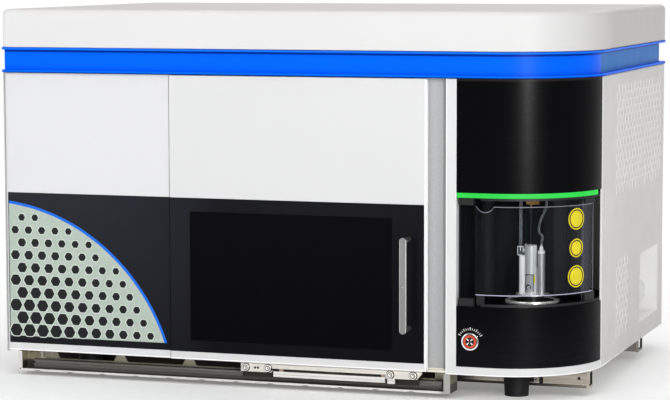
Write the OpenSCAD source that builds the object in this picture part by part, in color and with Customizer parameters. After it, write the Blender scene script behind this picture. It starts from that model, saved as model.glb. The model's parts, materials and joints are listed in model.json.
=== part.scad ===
// Benchtop cell-sorting flow cytometer, assembled from separate pieces.
// Working frame of the modules: x from the left side panel, y from the
// front panels, z from the lower edge of the panels. placed() moves all of it
// so that the origin is at the bottom centre of the whole instrument.

/* [Body] */
// Width across the side panels
body_w = 1094; // [1080:1:1110]
// Depth from the front panels to the rear panel
body_d = 714; // [696:1:730]
// Height of the panels below the trim band
panel_h = 516; // [514:1:530]
// Height of the feet below the panels
foot_h = 46.5; // [44:0.5:60]
// Radius of the round front right corner
corner_r = 165; // [164:0.5:166]
// Sheet thickness of the side and rear panels
sheet = 2.5; // [1.5:0.5:2.5]

/* [Trim band] */
// Height of the band
band_h = 46; // [40:1:60]
// How far the band's web lies behind the panels
band_in = 9.5; // [6:0.5:11]
// How far the band's lips stand proud of the panels
lip_out = 3; // [2:0.5:4]
// Thickness of a lip
lip_t = 4.5; // [3:0.5:6]

/* [Top cover] */
// Height of the cover above the band
cover_h = 69.5; // [60:0.5:90]
// Radius of the cover's upper edge
cover_f = 10; // [6:1:12]
// Wall of the cover
cover_t = 3; // [2.5:0.5:3.5]

/* [Door] */
// Where the fixed panel ends and the door starts
seam_x = 331.5; // [325:0.5:340]
// Distance the door slides to the left
door_travel = 255; // [200:5:255]
// Lower edge of the glass above the panel edge
glass_z0 = 14; // [10:1:20]
// Upper edge of the glass
glass_z1 = 294.8; // [280:0.2:300]
// How far the handle stands out
handle_out = 38; // [30:1:45]

/* [Sample bay] */
// Height of the bay floor
bay_z0 = 119; // [118:0.5:120]
// Height of the underside of the light strip
bay_z1 = 309.6; // [309:0.2:311]
// Lower edge of the shield
shield_z0 = 139; // [137:1:142]
// Upper edge of the shield
shield_z1 = 295; // [290:1:296]
// Radius of the sample tube bore
tube_r = 6.3; // [6.1:0.05:6.6]

/* [Vent slots] */
// Length of a vent slot
slot_l = 20; // [16:1:22]
// Width of a vent slot
slot_w = 6; // [4:0.5:8]
// Distance between slot columns
slot_p = 13.8; // [13:0.1:15]

/* [Hidden] */
$fn = 72;

R = corner_r;
cx = body_w - R;            // column axis
cy = R;
rail_y = 104.3;
split = 13;                 // the column covers end this far before the axis plane
fx0 = cx - 78;              // white column frame
fx1 = cx - 59;
door_x1 = cx - 113.5;
band_z0 = panel_h + 1;
band_z1 = band_z0 + band_h;
cover_z0 = band_z1 + 0.4;
cover_z1 = cover_z0 + cover_h;
rear_y = body_d + 5;          // rearmost point, the hinge barrels
feet = [[135, 80], [cx + 30, 80], [135, body_d - 80], [cx + 30, body_d - 80]];
sx = cx + 49;               // sample tube axis
sy = 101;
bx = cx - 33.3;             // stop button
bz = 57.8;
hinge_y = body_d;
hinge_z = cover_z0 + 11;
hinge_x = [150, body_w - 190];
fan_x = [300, 450];
fan_z = 400;
inlet_x = 200;
nx = 692;                   // nozzle axis
ny = 150;

module placed() translate([-body_w / 2, -(rear_y - handle_out) / 2, foot_h]) children();

// quarter of a square left outside a round corner
module corner_cut(x, y, r, a)
  translate([x, y]) rotate(a) difference() {
    translate([-1, -1]) square(r + 1);
    translate([r, r]) circle(r, $fn = r > 60 ? 144 : 48);
  }

// rectangle with its own radius at each corner: front left, front right, rear right, rear left
module round4(x0, y0, x1, y1, r) difference() {
  translate([x0, y0]) square([x1 - x0, y1 - y0]);
  corner_cut(x0, y0, r[0], 0);
  corner_cut(x1, y0, r[1], 90);
  corner_cut(x1, y1, r[2], 180);
  corner_cut(x0, y1, r[3], 270);
}

// plan of the body, inset by i
module outline(i = 0, rf = 4, rb = 5)
  round4(i, i, body_w - i, body_d - i,
         [max(rf - i, 0.6), R - i, max(rb - i, 0.6), max(rb - i, 0.6)]);

module ring_plan(i, o, rf = 4, rb = 5) difference() { outline(o, rf, rb); outline(i, rf, rb); }

// sector of a ring round the column axis, between two angles from +X
module arc_ring(r0, r1, a0, a1, z0, z1)
  translate([cx, cy, z0]) rotate([0, 0, a0])
    rotate_extrude(angle = a1 - a0, $fn = 144) translate([r0, 0]) square([r1 - r0, z1 - z0]);

module slot2d(l = slot_l, w = slot_w) {
  square([w, l - w], center = true);
  translate([0, (l - w) / 2]) circle(w / 2, $fn = 24);
  translate([0, -(l - w) / 2]) circle(w / 2, $fn = 24);
}

// staggered field of slots; cols counts the slot columns, rows the slots in one column
module slot_field(cols, rows, p = slot_p)
  for (c = [0 : cols - 1], r = [0 : rows - 1])
    translate([c * p, (r + (c % 2) / 2) * 2 * p]) slot2d();

module box(x0, y0, z0, x1, y1, z1) translate([x0, y0, z0]) cube([x1 - x0, y1 - y0, z1 - z0]);

module ycyl(x, z, y0, y1, r) translate([x, y0, z]) rotate([-90, 0, 0]) cylinder(h = y1 - y0, r = r);
module xcyl(y, z, x0, x1, r) translate([x0, y, z]) rotate([0, 90, 0]) cylinder(h = x1 - x0, r = r);

// ---------------------------------------------------------------- chassis

module base_pan() color("silver") placed() difference() {
  linear_extrude(3) difference() {
    outline(2.8);
    difference() {
      union() {
        translate([fx0 - 0.3, -1]) square([body_w, cy + 1.3]);
        translate([-1, -1]) square([body_w, 22.5]);
      }
      intersection() {
        translate([fx0 + 16, 15]) square([body_w, cy + 20]);
        union() {
          translate([cx, cy]) circle(R - 14.4, $fn = 144);
          translate([fx0 + 16, 15]) square([cx - fx0 - 16, cy]);
        }
      }
    }
  }
  for (p = feet) translate([p[0], p[1], -1]) cylinder(h = 5, r = 5.1);
}

module rubber_feet() color("dimgray") placed() for (p = feet) translate([p[0], p[1], -foot_h])
  difference() {
    cylinder(h = foot_h - 0.1, r1 = 21.2, r2 = 24);
    translate([0, 0, foot_h - 25]) cylinder(h = 26, r = 5.1);
  }

module foot_studs() color("lightgray") placed() for (p = feet) translate([p[0], p[1], 0]) {
  translate([0, 0, -24.5]) cylinder(h = 38, r = 5);
  translate([0, 0, 3.1]) difference() { cylinder(h = 8, r = 9.5, $fn = 6); translate([0, 0, -1]) cylinder(h = 10, r = 4.9); }
}

// open channel across the underside
module cross_rail(y0, d) difference() {
  box(12, y0, -32.3, body_w - 14, y0 + d, -2.2);
  box(11, y0 + 2.5, -29.8, body_w - 13, y0 + d + 1, -4.7);
  ycyl(body_w - 28, -15.5, y0 - 1, y0 + 4, 3);
}
module front_cross_rail() color("tan") placed() difference() {
  cross_rail(rail_y, 30);
  // gaps either side of the splice beside the foot, and the slots at its left
  box(975, rail_y - 1, -26, 984, rail_y + 3, -1);
  box(993.6, rail_y - 1, -28, 1001, rail_y + 3, -1);
  box(901.5, rail_y - 1, -6.5, 905, rail_y + 3, -3.5);
  box(908, rail_y - 1, -8, 915.5, rail_y + 3, -5);
  box(1003, rail_y - 1, -27.8, body_w - 22, rail_y + 1, -26);
}
module rear_cross_rail() color("tan") placed() cross_rail(530, 40);

module rail_end_caps() color("wheat") placed() for (r = [[rail_y, 30], [530, 40]], x = [8, body_w - 13.9])
  difference() {
    box(x, r[0] - 0.6, -33, x + 3.9, r[0] + r[1] + 0.6, -2.2);
    box(x - 1, r[0] + 4, -28.5, x + 5, r[0] + r[1] - 4, -5.5);
  }

// four square tubes and the beam that carries the cover hinges
module chassis_posts() color("gray") placed() {
  for (p = [[8, 22], [8, body_d - 36], [body_w - 38, body_d - 36], [body_w - 60, 330]])
    translate([p[0], p[1], 3.1]) difference() {
      cube([25, 25, panel_h - 3.2]);
      translate([2, 2, -1]) cube([21, 21, panel_h]);
    }
  box(33.2, body_d - 36, panel_h - 26, body_w - 38.2, body_d - 22, panel_h - 0.1);
}

// ---------------------------------------------------------------- panels

module left_front_panel() color("white") placed() difference() {
  union() {
    box(3, 4, 0, seam_x - 2.4, 7.4, panel_h);
    box(3, 7.3, 0, 5.5, 20, panel_h);
    box(3, 7.3, 0, seam_x - 2.4, 20, 2.5);
    box(3, 7.3, panel_h - 2.5, seam_x - 2.4, 20, panel_h);
  }
  box(6, 3, glass_z0, seam_x, 6, glass_z1);
}

module left_glass() color("black") placed()
  box(6.1, 4, glass_z0 + 0.1, seam_x - 2.4, 5.95, glass_z1 - 0.1);

module left_side_panel() color("white") placed() translate([0, 0, -2]) linear_extrude(panel_h + 2)
  intersection() {
    ring_plan(sheet, 0);
    union() { square([2.9, body_d]); translate([0, 30]) square([14, body_d]); }
  }

module right_side_panel() color("gainsboro") placed() difference() {
  translate([0, 0, -2]) linear_extrude(panel_h + 2) intersection() {
    ring_plan(sheet, 0);
    translate([body_w - 14, cy - split + 0.3]) square([20, body_d]);
  }
  // openings cut through the sheet, drawn in the plane of the panel
  translate([body_w + 1, 0, 0]) rotate([90, 0, 90]) translate([0, 0, -sheet - 2]) linear_extrude(sheet + 4) {
    translate([276, 305.5]) slot_field(30, 7);
    translate([281, 41.5]) slot_field(8, 5);
    translate([490.6, 32]) square([176, 132]);
    translate([248, -2]) circle(4);
  }
}

module vent_screens() color("whitesmoke") placed() {
  box(body_w - sheet - 1.5, 262, 288, body_w - sheet - 0.3, 688, 512);
  box(body_w - sheet - 1.5, 268, 12, body_w - sheet - 0.3, 396, 196);
}

module recess_liner() color("white") placed() difference() {
  box(body_w - 96, 488.6, 30, body_w - sheet - 0.1, 670, 166);
  box(body_w - 94, 490.6, 32, body_w, 668, 164);
  for (y = [540, 600]) xcyl(y, 122, body_w - 100, body_w - 90, 7.1);
  ycyl(body_w - 54, 69, 660, 680, 12.1);
}

// round cap on the rear wall of the recess, two bulkhead ports on its deep wall
module recess_couplings() color("white") placed() {
  difference() {
    union() {
      ycyl(body_w - 54, 69, 652, 667.9, 31);
      ycyl(body_w - 54, 69, 648, 654, 24);
      ycyl(body_w - 54, 69, 667, 682, 12);
    }
    ycyl(body_w - 54, 69, 640, 650, 19);
    for (a = [0 : 30 : 330]) ycyl(body_w - 54 + 31.6 * cos(a), 69 + 31.6 * sin(a), 645, 670, 2);
  }
  for (y = [540, 600]) difference() {
    union() {
      xcyl(y, 122, body_w - 112, body_w - 74, 7);
      xcyl(y, 122, body_w - 93.9, body_w - 88, 11);
    }
    xcyl(y, 122, body_w - 100, body_w - 73, 3.2);
  }
}

module rear_panel() color("gainsboro") placed() difference() {
  box(14.2, body_d - sheet, -2, body_w - 14.2, body_d, panel_h);
  translate([0, body_d + 1, 0]) rotate([90, 0, 0]) linear_extrude(sheet + 4) {
    for (x = fan_x) translate([x - 3.5 * slot_p, fan_z - 3 * slot_p]) slot_field(8, 3);
    translate([760, 330]) slot_field(16, 4);
    translate([inlet_x - 14, 46]) square([28, 48]);
    translate([inlet_x + 24, 55]) square([16, 30]);
  }
}

module trim_band() color("dodgerblue") placed() translate([0, 0, band_z0]) difference() {
  union() {
    linear_extrude(lip_t) outline(-lip_out, 8, 10);
    linear_extrude(band_h) outline(band_in, 8, 10);
    translate([0, 0, band_h - lip_t]) linear_extrude(lip_t) outline(-lip_out, 8, 10);
    linear_extrude(band_h) intersection() {
      outline(0, 8, 10);
      translate([0.5, band_in]) square([band_in + 4, body_d - 2 * band_in]);
    }
  }
  translate([0, 0, -1]) linear_extrude(band_h + 2) outline(band_in + 3.5, 8, 10);
}

module divider_strip() color("silver") placed() {
  box(door_x1 - 4.5, 12.5, 4, fx0 - 0.2, 14.5, panel_h);
  box(door_x1 + 1.5, 2, 0, fx0 - 0.2, 14.5, 4.1);
}

// ---------------------------------------------------------------- column

// plan of the round column front, inset by i, from x0 to the tangent at the side
module column_plan(i, x0) intersection() {
  translate([x0, 0]) square([body_w - x0, cy - split]);
  outline(i);
}

module column_frame() color("white") placed() {
  translate([0, 0, -2]) linear_extrude(14.5) difference() {
    column_plan(0, fx0);
    column_plan(14, fx0 + 15);
    translate([fx0 - 1, 15]) square([cx - fx0, cy]);
  }
  translate([0, 0, 12]) linear_extrude(panel_h - 12) difference() {
    translate([fx0, 0]) square([19, 15]);
    translate([fx0 + 2, 2]) square([15, 14]);
  }
}

// floor or ceiling plan of the bay, which also carries the shield's tracks
module bay_plan() {
  column_plan(sheet - 0.3, fx1 + 2);
  translate([fx1 + 2, cy - 1]) square([cx - fx1 + 120, 35]);
  intersection() {
    translate([cx, cy]) circle(R - 3, $fn = 144);
    translate([cx - 10, cy - 1]) square([R + 20, R]);
  }
}

module column_upper_cover() color([0.08, 0.08, 0.09]) placed() {
  translate([0, 0, bay_z1 + 8.5]) linear_extrude(panel_h - bay_z1 - 8.5) difference() {
    column_plan(0, fx1 + 0.1);
    column_plan(sheet, fx1 - 5);
  }
  difference() {
    translate([0, 0, bay_z1 + 8.5]) linear_extrude(3) bay_plan();
    box(sx - 8.5, sy - 12, bay_z1, sx + 18.5, sy + 12, bay_z1 + 20);
    translate([sx - 18.2, sy, bay_z1]) cylinder(h = 20, r = 2.9);
    translate([cx + 74, sy + 16, bay_z1]) cylinder(h = 20, r = 2.3);
  }
}

module light_strip() color([0.2, 0.95, 0.4]) placed() translate([0, 0, bay_z1]) {
  linear_extrude(8.3) difference() {
    intersection() { column_plan(0, fx1 + 1); translate([fx1 + 1, -1]) square([R + 60, cy - 30]); }
    column_plan(12, fx1 - 5);
  }
}

module column_lower_cover() color([0.08, 0.08, 0.09]) placed() difference() {
  union() {
    translate([0, 0, 12.7]) linear_extrude(bay_z0 - 12.7) difference() {
      column_plan(0, fx1 + 0.1);
      column_plan(sheet, fx1 - 5);
    }
    translate([0, 0, bay_z0 - 3]) linear_extrude(3) bay_plan();
  }
  ycyl(bx, bz, -1, 10, 13.1);
}

// dark back of the bay, with rounded rear corners
module bay_liner() color([0.13, 0.13, 0.15]) placed() translate([0, 0, bay_z0 + 0.1])
  linear_extrude(bay_z1 + 8.3 - bay_z0) difference() {
    union() {
      intersection() {
        difference() {
          round4(fx1 + 2, -80, cx + 141, 197, [1, 1, 30, 60]);
          round4(fx1 + 4, -90, cx + 139, 195, [1, 1, 28, 58]);
        }
        union() {
          translate([fx1 + 2, 16]) square([60, 190]);
          translate([cx, cy - 58]) square([160, 100]);
          translate([fx1 + 2, cy]) square([100, 60]);
        }
      }
      translate([cx + 88, 191]) square([22, 5]);
    }
    translate([cx + 92, 188]) square([2, 5]);
    translate([cx + 100, 188]) square([1.5, 5]);
  }

// grooved arc tracks of the shield, and the stop blocks at its closed end
module shield_guides() color([0.16, 0.16, 0.17]) placed() {
  difference() {
    arc_ring(156.8, 162, -96, 64, bay_z0 + 0.1, bay_z0 + 4.6);
    arc_ring(158.2, 160.8, -97, 65, bay_z0 + 1.6, bay_z0 + 5);
  }
  difference() {
    arc_ring(156.8, 162, -96, 64, bay_z1 - 4.6, bay_z1 - 0.1);
    arc_ring(158.2, 160.8, -97, 65, bay_z1 - 5, bay_z1 - 1.6);
  }
  box(fx1 + 4.2, 3, bay_z0 + 0.1, fx1 + 30, 16, bay_z0 + 14);
  box(fx1 + 4.2, 3, bay_z1 - 13, fx1 + 30, 16, bay_z1 - 0.1);
}

// turned base of the sample station
module station_ring() color("silver") placed() translate([sx + 3, sy, bay_z0 + 0.1]) {
  rotate_extrude() difference() {
    union() {
      translate([39, 0]) square([9.5, 2.5]);
      translate([44, 2.5]) circle(2.2, $fn = 24);
      translate([0, 0]) square([41, 1.2]);
      square([21, 13]);
      translate([0, 12]) square([29, 2.8]);
    }
    translate([-60, -20]) square([120, 20]);
    translate([-60, -30]) square([60, 60]);
  }
}

module tube_holder() color("lightgray") placed() difference() {
  union() {
    translate([sx, sy, bay_z0 + 15]) cylinder(h = 85.5, r = 10.9);
    translate([sx - 16.5, sy, bay_z0 + 15]) cylinder(h = 66.4, r = 4.3);
    box(sx - 15, sy - 4, bay_z0 + 15, sx - 7, sy + 3, bay_z0 + 81.4);
    translate([sx - 7.4, sy - 4.5, bay_z0 + 100]) cylinder(h = 3.5, r = 0.8);
  }
  translate([sx, sy, bay_z0 + 24]) cylinder(h = 90, r = tube_r);
  box(sx - 7.2, sy - 12, bay_z0 + 18, sx + 7.2, sy - 2, bay_z0 + 48);
}

module wash_cylinder() color("silver") placed() {
  translate([sx + 19.4, sy, bay_z0 + 15]) cylinder(h = 70.6, r = 6.7);
  translate([sx + 19.4, sy, bay_z0 + 85.5]) cylinder(h = 5.5, r = 5.8);
  translate([sx + 19.4, sy, bay_z0 + 90.9]) cylinder(h = 11, r = 2);
  box(sx + 10.95, sy - 1.5, bay_z0 + 15, sx + 14, sy + 1.5, bay_z0 + 60);
}

// straight run between two points
module run(a, b, r) {
  d = b - a;
  l = norm(d);
  translate(a) rotate([0, acos(d[2] / l), atan2(d[1], d[0])]) cylinder(h = l, r = r, $fn = 24);
}
wash_route = [[sx + 19.6, sy, bay_z0 + 103.6], [sx + 19.6, sy + 11.8, bay_z0 + 114], [sx + 11, sy + 15.5, bay_z0 + 123],
              [sx + 13, sy + 16, bay_z0 + 141], [cx + 72, sy + 16, bay_z0 + 164], [cx + 74, sy + 16, bay_z1 + 12]];
module bay_tubing() color([0.85, 0.9, 0.95, 0.6]) placed() {
  difference() {
    box(sx - 23, sy - 6, bay_z0 + 81.6, sx - 11.4, sy + 6, bay_z0 + 98.5);
    translate([sx - 18.2, sy, bay_z0 + 80]) cylinder(h = 30, r = 2.75);
  }
  translate([sx - 18.2, sy, bay_z0 + 81.6]) cylinder(h = bay_z1 + 12 - bay_z0 - 81.6, r = 2.7);
  for (i = [0 : len(wash_route) - 2]) {
    run(wash_route[i], wash_route[i + 1], 1.9);
    if (i > 0) translate(wash_route[i]) sphere(2.2, $fn = 24);
  }
}

module stop_button_bezel() color("silver") placed() difference() {
  union() {
    ycyl(bx, bz, -2.5, 0, 15.4);
    ycyl(bx, bz, -0.1, 18, 13);
  }
  ycyl(bx, bz, -3, 20, 12.08);
}

// ---------------------------------------------------------------- door tray

module door_tray() color("silver") placed() difference() {
  union() {
    box(21, 6, -38.5, 857.5, 46, -2.3);
    box(853.5, 45.9, -38.5, 857.5, 52, -2.3);
  }
  // trough, open at the front and the top
  box(32.5, 5, -34.5, 842, 43, 1);
  // recesses behind the end posts
  box(24, 9, -36, 33, 43, 1);
  box(841.5, 9, -36, 853.5, 43, 1);
  box(29, 5, -34.5, 33, 10, 1);
  box(841.5, 5, -34.5, 845.6, 10, 1);
  // windows in the rear wall, narrower at the bottom, the last one short
  for (i = [0 : 5]) translate([82.5 + i * 137.2, 0, 0]) rotate([90, 0, 0]) translate([0, 0, -60])
    linear_extrude(40) polygon([[0, -6], [i < 5 ? 123 : 51, -6], [i < 5 ? 116 : 51, -18.9], [7, -18.9]]);
  // notches along the lower lip
  for (i = [0 : 11]) translate([60 + i * 66, 4, -38.5]) rotate([-90, 0, 0])
    linear_extrude(6) polygon([[-7, 1], [7, 1], [4, -1.4], [-4, -1.4]]);
}

module door_rail() color("darkgray") placed() {
  box(43, 24, -30, 838, 36, -20);
  box(43, 27, -34.4, 838, 33, -29.9);
}

// ---------------------------------------------------------------- sliding door

module door_panel() color("white") placed() difference() {
  union() {
    box(seam_x, 0, 0, door_x1, 3, panel_h - 0.5);
    box(door_x1 - 2.5, 2.9, 0, door_x1, 11, panel_h - 0.5);
    box(590, 2.9, 0, door_x1, 11, 2.5);
    box(590, 2.9, panel_h - 3, door_x1, 11, panel_h - 0.5);
    box(590, 2.9, 0, 593, 11, panel_h - 0.5);
  }
  box(seam_x - 1, -1, glass_z0, door_x1 - 4, 2, glass_z1);
}

module door_glass() color("black") placed()
  box(seam_x, 0, glass_z0 + 0.1, door_x1 - 4.1, 1.95, glass_z1 - 0.1);

module door_handle() color("silver") placed() {
  difference() {
    translate([777.8, -handle_out, 70.5]) {
      translate([6, 0, 6]) rotate([-90, 0, 0]) cylinder(h = 5, r = 6);
      translate([6, 0, 163.5]) rotate([-90, 0, 0]) cylinder(h = 5, r = 6);
      translate([0, 0, 6]) cube([12, 5, 157.5]);
    }
    translate([783.8, -handle_out - 1, 153]) rotate([-90, 0, 0]) cylinder(h = 2, r = 0.8);
  }
  for (z = [76.5, 234]) ycyl(783.8, z, -handle_out + 4.9, -0.1, 4.5);
}

// two hanger plates with the saddles that run on the rail
module door_brackets() color("tan") placed() {
  difference() {
    union() {
      box(466.9, 1, -16.3, 525, 5, -0.6);
      translate([0, 5, 0]) rotate([90, 0, 0]) linear_extrude(4)
        polygon([[740, -15.6], [797.5, -15.6], [807.3, -5], [807.3, -0.6], [740, -0.6]]);
      box(524.9, 1, -9.2, 740.1, 5, -0.6);
    }
    for (x = [476.7, 519.1, 749, 791.5]) ycyl(x, -8.5, 0, 6, 2.6);
    for (x = [494.2, 499.7]) ycyl(x, -8.8, 0, 6, 1.5);
  }
  for (x = [466, 737]) difference() {
    union() {
      box(x, 4.9, -15, x + 60, 12, -2);
      box(x, 11.9, -27, x + 60, 41, -3);
    }
    box(x - 1, 23.7, -28, x + 61, 36.3, -19.7);
    for (s = x == 466 ? [476.7, 519.1] : [749, 791.5]) ycyl(s, -8.5, 0, 12, 2.6);
  }
}

module bracket_screws() color("gainsboro") placed() for (x = [476.7, 519.1, 749, 791.5])
  difference() {
    union() { ycyl(x, -8.5, -2.6, 0.9, 6.2); ycyl(x, -8.5, 0.8, 11, 2.5); }
    translate([x, -3, -8.5]) rotate([-90, 0, 0]) cylinder(h = 2.6, r = 2.3, $fn = 6);
  }

module door_slide_strip() color("whitesmoke") placed() {
  box(529, 1.5, -23.8, 739.7, 5, -14.2);
  for (x = [539.8, 731.6]) box(x, 1.8, -14.3, x + 8, 4.8, -9.3);
  box(743, 1.5, -25, 757, 5, -15.8);
}

// ---------------------------------------------------------------- sample shield

module sample_shield() color([0.75, 0.8, 0.9, 0.35]) placed() difference() {
  union() {
    arc_ring(158.4, 160.8, -99.4, -12.7, shield_z0, shield_z1);
    arc_ring(157.2, 161.4, -15.6, -12.7, shield_z0, shield_z1);
  }
  // finger notch in the upper edge
  ycyl(cx - 8.5, shield_z1 + 7.5, -10, 30, 17.5);
}

module shield_shoes() color([0.1, 0.1, 0.11]) placed() {
  for (a = [[-24, -12.8], [-98.5, -93.5]]) {
    arc_ring(157.6, 161.2, a[0], a[1], bay_z0 + 5, shield_z0 - 0.1);
    arc_ring(158.6, 160.4, a[0], a[1], bay_z0 + 2, bay_z0 + 5.1);
  }
  arc_ring(157.6, 161.2, -24, -12.8, shield_z1 + 0.1, bay_z1 - 5);
  arc_ring(158.6, 160.4, -24, -12.8, bay_z1 - 5.1, bay_z1 - 2);
}

module probe_guide_rail() color("silver") placed() {
  box(sx + 22.2, sy - 6, bay_z1 + 11.5, sx + 28.2, sy + 6, bay_z1 + 195);
  box(sx + 28, sy - 12, bay_z1 + 11.5, sx + 44, sy + 12, bay_z1 + 15);
}

module sample_probe() color("goldenrod") placed() {
  difference() {
    union() {
      box(sx - 6.5, sy - 8, bay_z1 - 17.6, sx + 16.5, sy + 8, bay_z1 - 10);
      translate([sx, sy, bay_z1 - 24]) cylinder(h = 8, r1 = 1.2, r2 = 4);
      translate([sx, sy, bay_z1 - 10.1]) cylinder(h = 110, r = 5);
      box(sx - 2, sy - 11, bay_z1 + 78, sx + 21.9, sy + 11, bay_z1 + 98);
      for (y = [-11, 6.3]) box(sx + 21, sy + y, bay_z1 + 78.5, sx + 26, sy + y + 4.7, bay_z1 + 97.5);
    }
    for (x = [3, 12]) translate([sx + x, sy - 8, bay_z1 - 13.8]) rotate([-90, 0, 0]) cylinder(h = 2, r = 1.5);
  }
  translate([sx, sy, bay_z1 - 86]) cylinder(h = 64, r = 0.8, $fn = 24);
}

module stop_button() color("red") placed() {
  ycyl(bx, bz, -3.4, 12, 12);
  ycyl(bx, bz, -4, -3.3, 7.6);
}

// ---------------------------------------------------------------- sort chamber

module sort_chamber() color("gainsboro") placed() {
  // front frame
  difference() {
    box(336, 15, 4, 814.5, 17, panel_h - 2);
    box(577.5, 14, 24.5, 808.5, 18, 303.5);
  }
  // five-sided chamber behind it, with the rail of the stage
  difference() {
    box(575, 17.1, 22, 811, 290, 306);
    difference() {
      box(577.5, 14, 24.5, 808.5, 287.5, 303.5);
      box(600, 142, 24, 786, 158, 29.5);
    }
    translate([nx, ny, 300]) cylinder(h = 10, r = 14);
    translate([nx, ny + 90, 20]) cylinder(h = 6, r = 9);
    ycyl(nx, 195, 285, 292, 16.1);
  }
}

module nozzle_block() color("silver") placed() difference() {
  union() {
    box(nx - 28, ny - 24, 306.1, nx + 28, ny + 24, 345);
    translate([nx, ny, 288]) cylinder(h = 20, r1 = 5, r2 = 13.5);
  }
  translate([nx, ny, 287]) cylinder(h = 60, r = 1.5, $fn = 24);
  xcyl(ny, 326, nx - 29, nx - 10, 3.2);
}

module deflection_plates() color("silver") placed() for (s = [-1, 1]) {
  translate([nx + s * 16, ny, 250]) rotate([0, s * 4, 0]) cube([2.5, 34, 66], center = true);
  translate([nx + s * 16, ny + 16, 250]) rotate([-90, 0, 0]) cylinder(h = 287.4 - ny - 16, r = 4);
}

module stream_camera() color("dimgray") placed() {
  ycyl(nx, 195, 262, 300, 16);
  ycyl(nx, 195, 256, 262.1, 12);
  box(nx - 22, 299.9, 173, nx + 22, 340, 217);
}

module collection_stage() color("steelblue") placed() {
  box(nx - 50, 110, 31, nx + 50, 190, 40);
  box(nx - 42, 125, 25, nx + 42, 140, 31.1);
  box(nx - 42, 160, 25, nx + 42, 175, 31.1);
  // four tube sleeves
  for (x = [-24, 24], y = [-15, 15]) translate([nx + x, ny + y, 40.1]) difference() {
    cylinder(h = 77.9, r = 11);
    translate([0, 0, 9.9]) cylinder(h = 70, r = tube_r);
  }
}

// ---------------------------------------------------------------- optics, fluidics, electronics

module optical_bench() color("darkgray") placed() {
  difference() {
    box(40, 110, 352, 820, 640, 364);
    translate([nx, ny, 350]) cylinder(h = 20, r = 36);
    for (i = [0 : 7], j = [0 : 4]) translate([70 + i * 100, 190 + j * 95, 356]) cylinder(h = 9, r = 2.5, $fn = 24);
  }
  for (p = [[70, 150], [70, 610], [790, 610], [540, 150]]) translate([p[0], p[1], 3.1]) cylinder(h = 348.8, r = 12);
}

module laser_modules() color("dimgray") placed() for (i = [0 : 3]) translate([70, 200 + i * 100, 364.1]) {
  difference() {
    cube([200, 62, 48]);
    for (x = [20 : 12 : 176]) translate([x, -1, 36]) cube([5, 64, 13]);
  }
  translate([199.9, 31, 24]) rotate([0, 90, 0]) cylinder(h = 24, r = 9);
}

module detector_arrays() color("slategray") placed() for (y = [260, 440]) translate([560, y, 364.1]) {
  cube([150, 70, 30]);
  for (x = [15 : 24 : 135]) translate([x, 35, 29.9]) cylinder(h = 30, r = 9);
}

module flow_cell_objective() color("silver") placed() difference() {
  union() {
    box(nx - 12, ny - 12, 345.1, nx + 12, ny + 12, 408);
    ycyl(nx, 392, ny + 11.9, ny + 60, 15);
    ycyl(nx, 392, ny + 59.9, ny + 100, 22);
    box(nx - 20, ny + 62, 364.1, nx + 20, ny + 96, 367);
    box(nx - 6, ny + 62, 366.9, nx + 6, ny + 96, 392);
  }
  translate([nx, ny, 344]) cylinder(h = 60, r = 1.5, $fn = 24);
}

module power_supply() color("lightgray") placed() difference() {
  box(100, 440, 3.2, 290, 610, 90);
  for (x = [118 : 12 : 270]) box(x, 439, 30, x + 5, 444, 74);
}

module control_board() color("darkgreen") placed() {
  for (x = [320, 540], y = [460, 630]) translate([x, y, 3.1]) cylinder(h = 17, r = 4, $fn = 24);
  box(310, 450, 20, 550, 640, 21.8);
  for (i = [0 : 2]) box(335 + i * 70, 480, 21.7, 375 + i * 70, 520, 26);
  for (i = [0 : 4]) box(330 + i * 42, 600, 21.7, 360 + i * 42, 612, 33);
}

module sheath_pump() color("slategray") placed() {
  translate([400, 300, 3.1]) {
    difference() { cube([110, 80, 60]); translate([90, 40, 30]) rotate([0, 90, 0]) cylinder(h = 30, r = 4); }
    translate([-69.9, 40, 32]) rotate([0, 90, 0]) cylinder(h = 70, r = 26);
    translate([55, 40, 59.9]) cylinder(h = 14, r = 20);
  }
}

// one square fan housing with its centre at the origin, blowing along Y
module fan_frame() {
  difference() {
    translate([-60, 0, -60]) cube([120, 25, 120]);
    translate([0, -1, 0]) rotate([-90, 0, 0]) cylinder(h = 27, r = 57);
    for (x = [-52.5, 52.5], z = [-52.5, 52.5]) translate([x, -1, z]) rotate([-90, 0, 0]) cylinder(h = 27, r = 2.2);
  }
  rotate([-90, 0, 0]) cylinder(h = 3, r = 18);
  for (a = [0 : 90 : 270]) rotate([0, a + 45, 0]) translate([16, 0.4, -2.5]) cube([43, 2.2, 5]);
  translate([0, 1.5, 0]) rotate([-90, 0, 0]) cylinder(h = 18.5, r = 2);
}
module fan_frames() color("dimgray") placed() for (x = fan_x) translate([x, body_d - sheet - 25.3, fan_z]) fan_frame();

module fan_rotor() difference() {
  union() {
    translate([0, 4, 0]) rotate([-90, 0, 0]) cylinder(h = 18, r = 19);
    for (a = [0 : 360 / 7 : 350]) rotate([0, a, 0]) translate([17, 12.5, 0]) rotate([38, 0, 0]) translate([0, -1, -9]) cube([38, 2, 18]);
  }
  translate([0, 3, 0]) rotate([-90, 0, 0]) cylinder(h = 17.4, r = 2.06);
}
module fan_rotor_left() color("black") placed() translate([fan_x[0], body_d - sheet - 25.3, fan_z]) fan_rotor();
module fan_rotor_right() color("black") placed() translate([fan_x[1], body_d - sheet - 25.3, fan_z]) fan_rotor();

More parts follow.
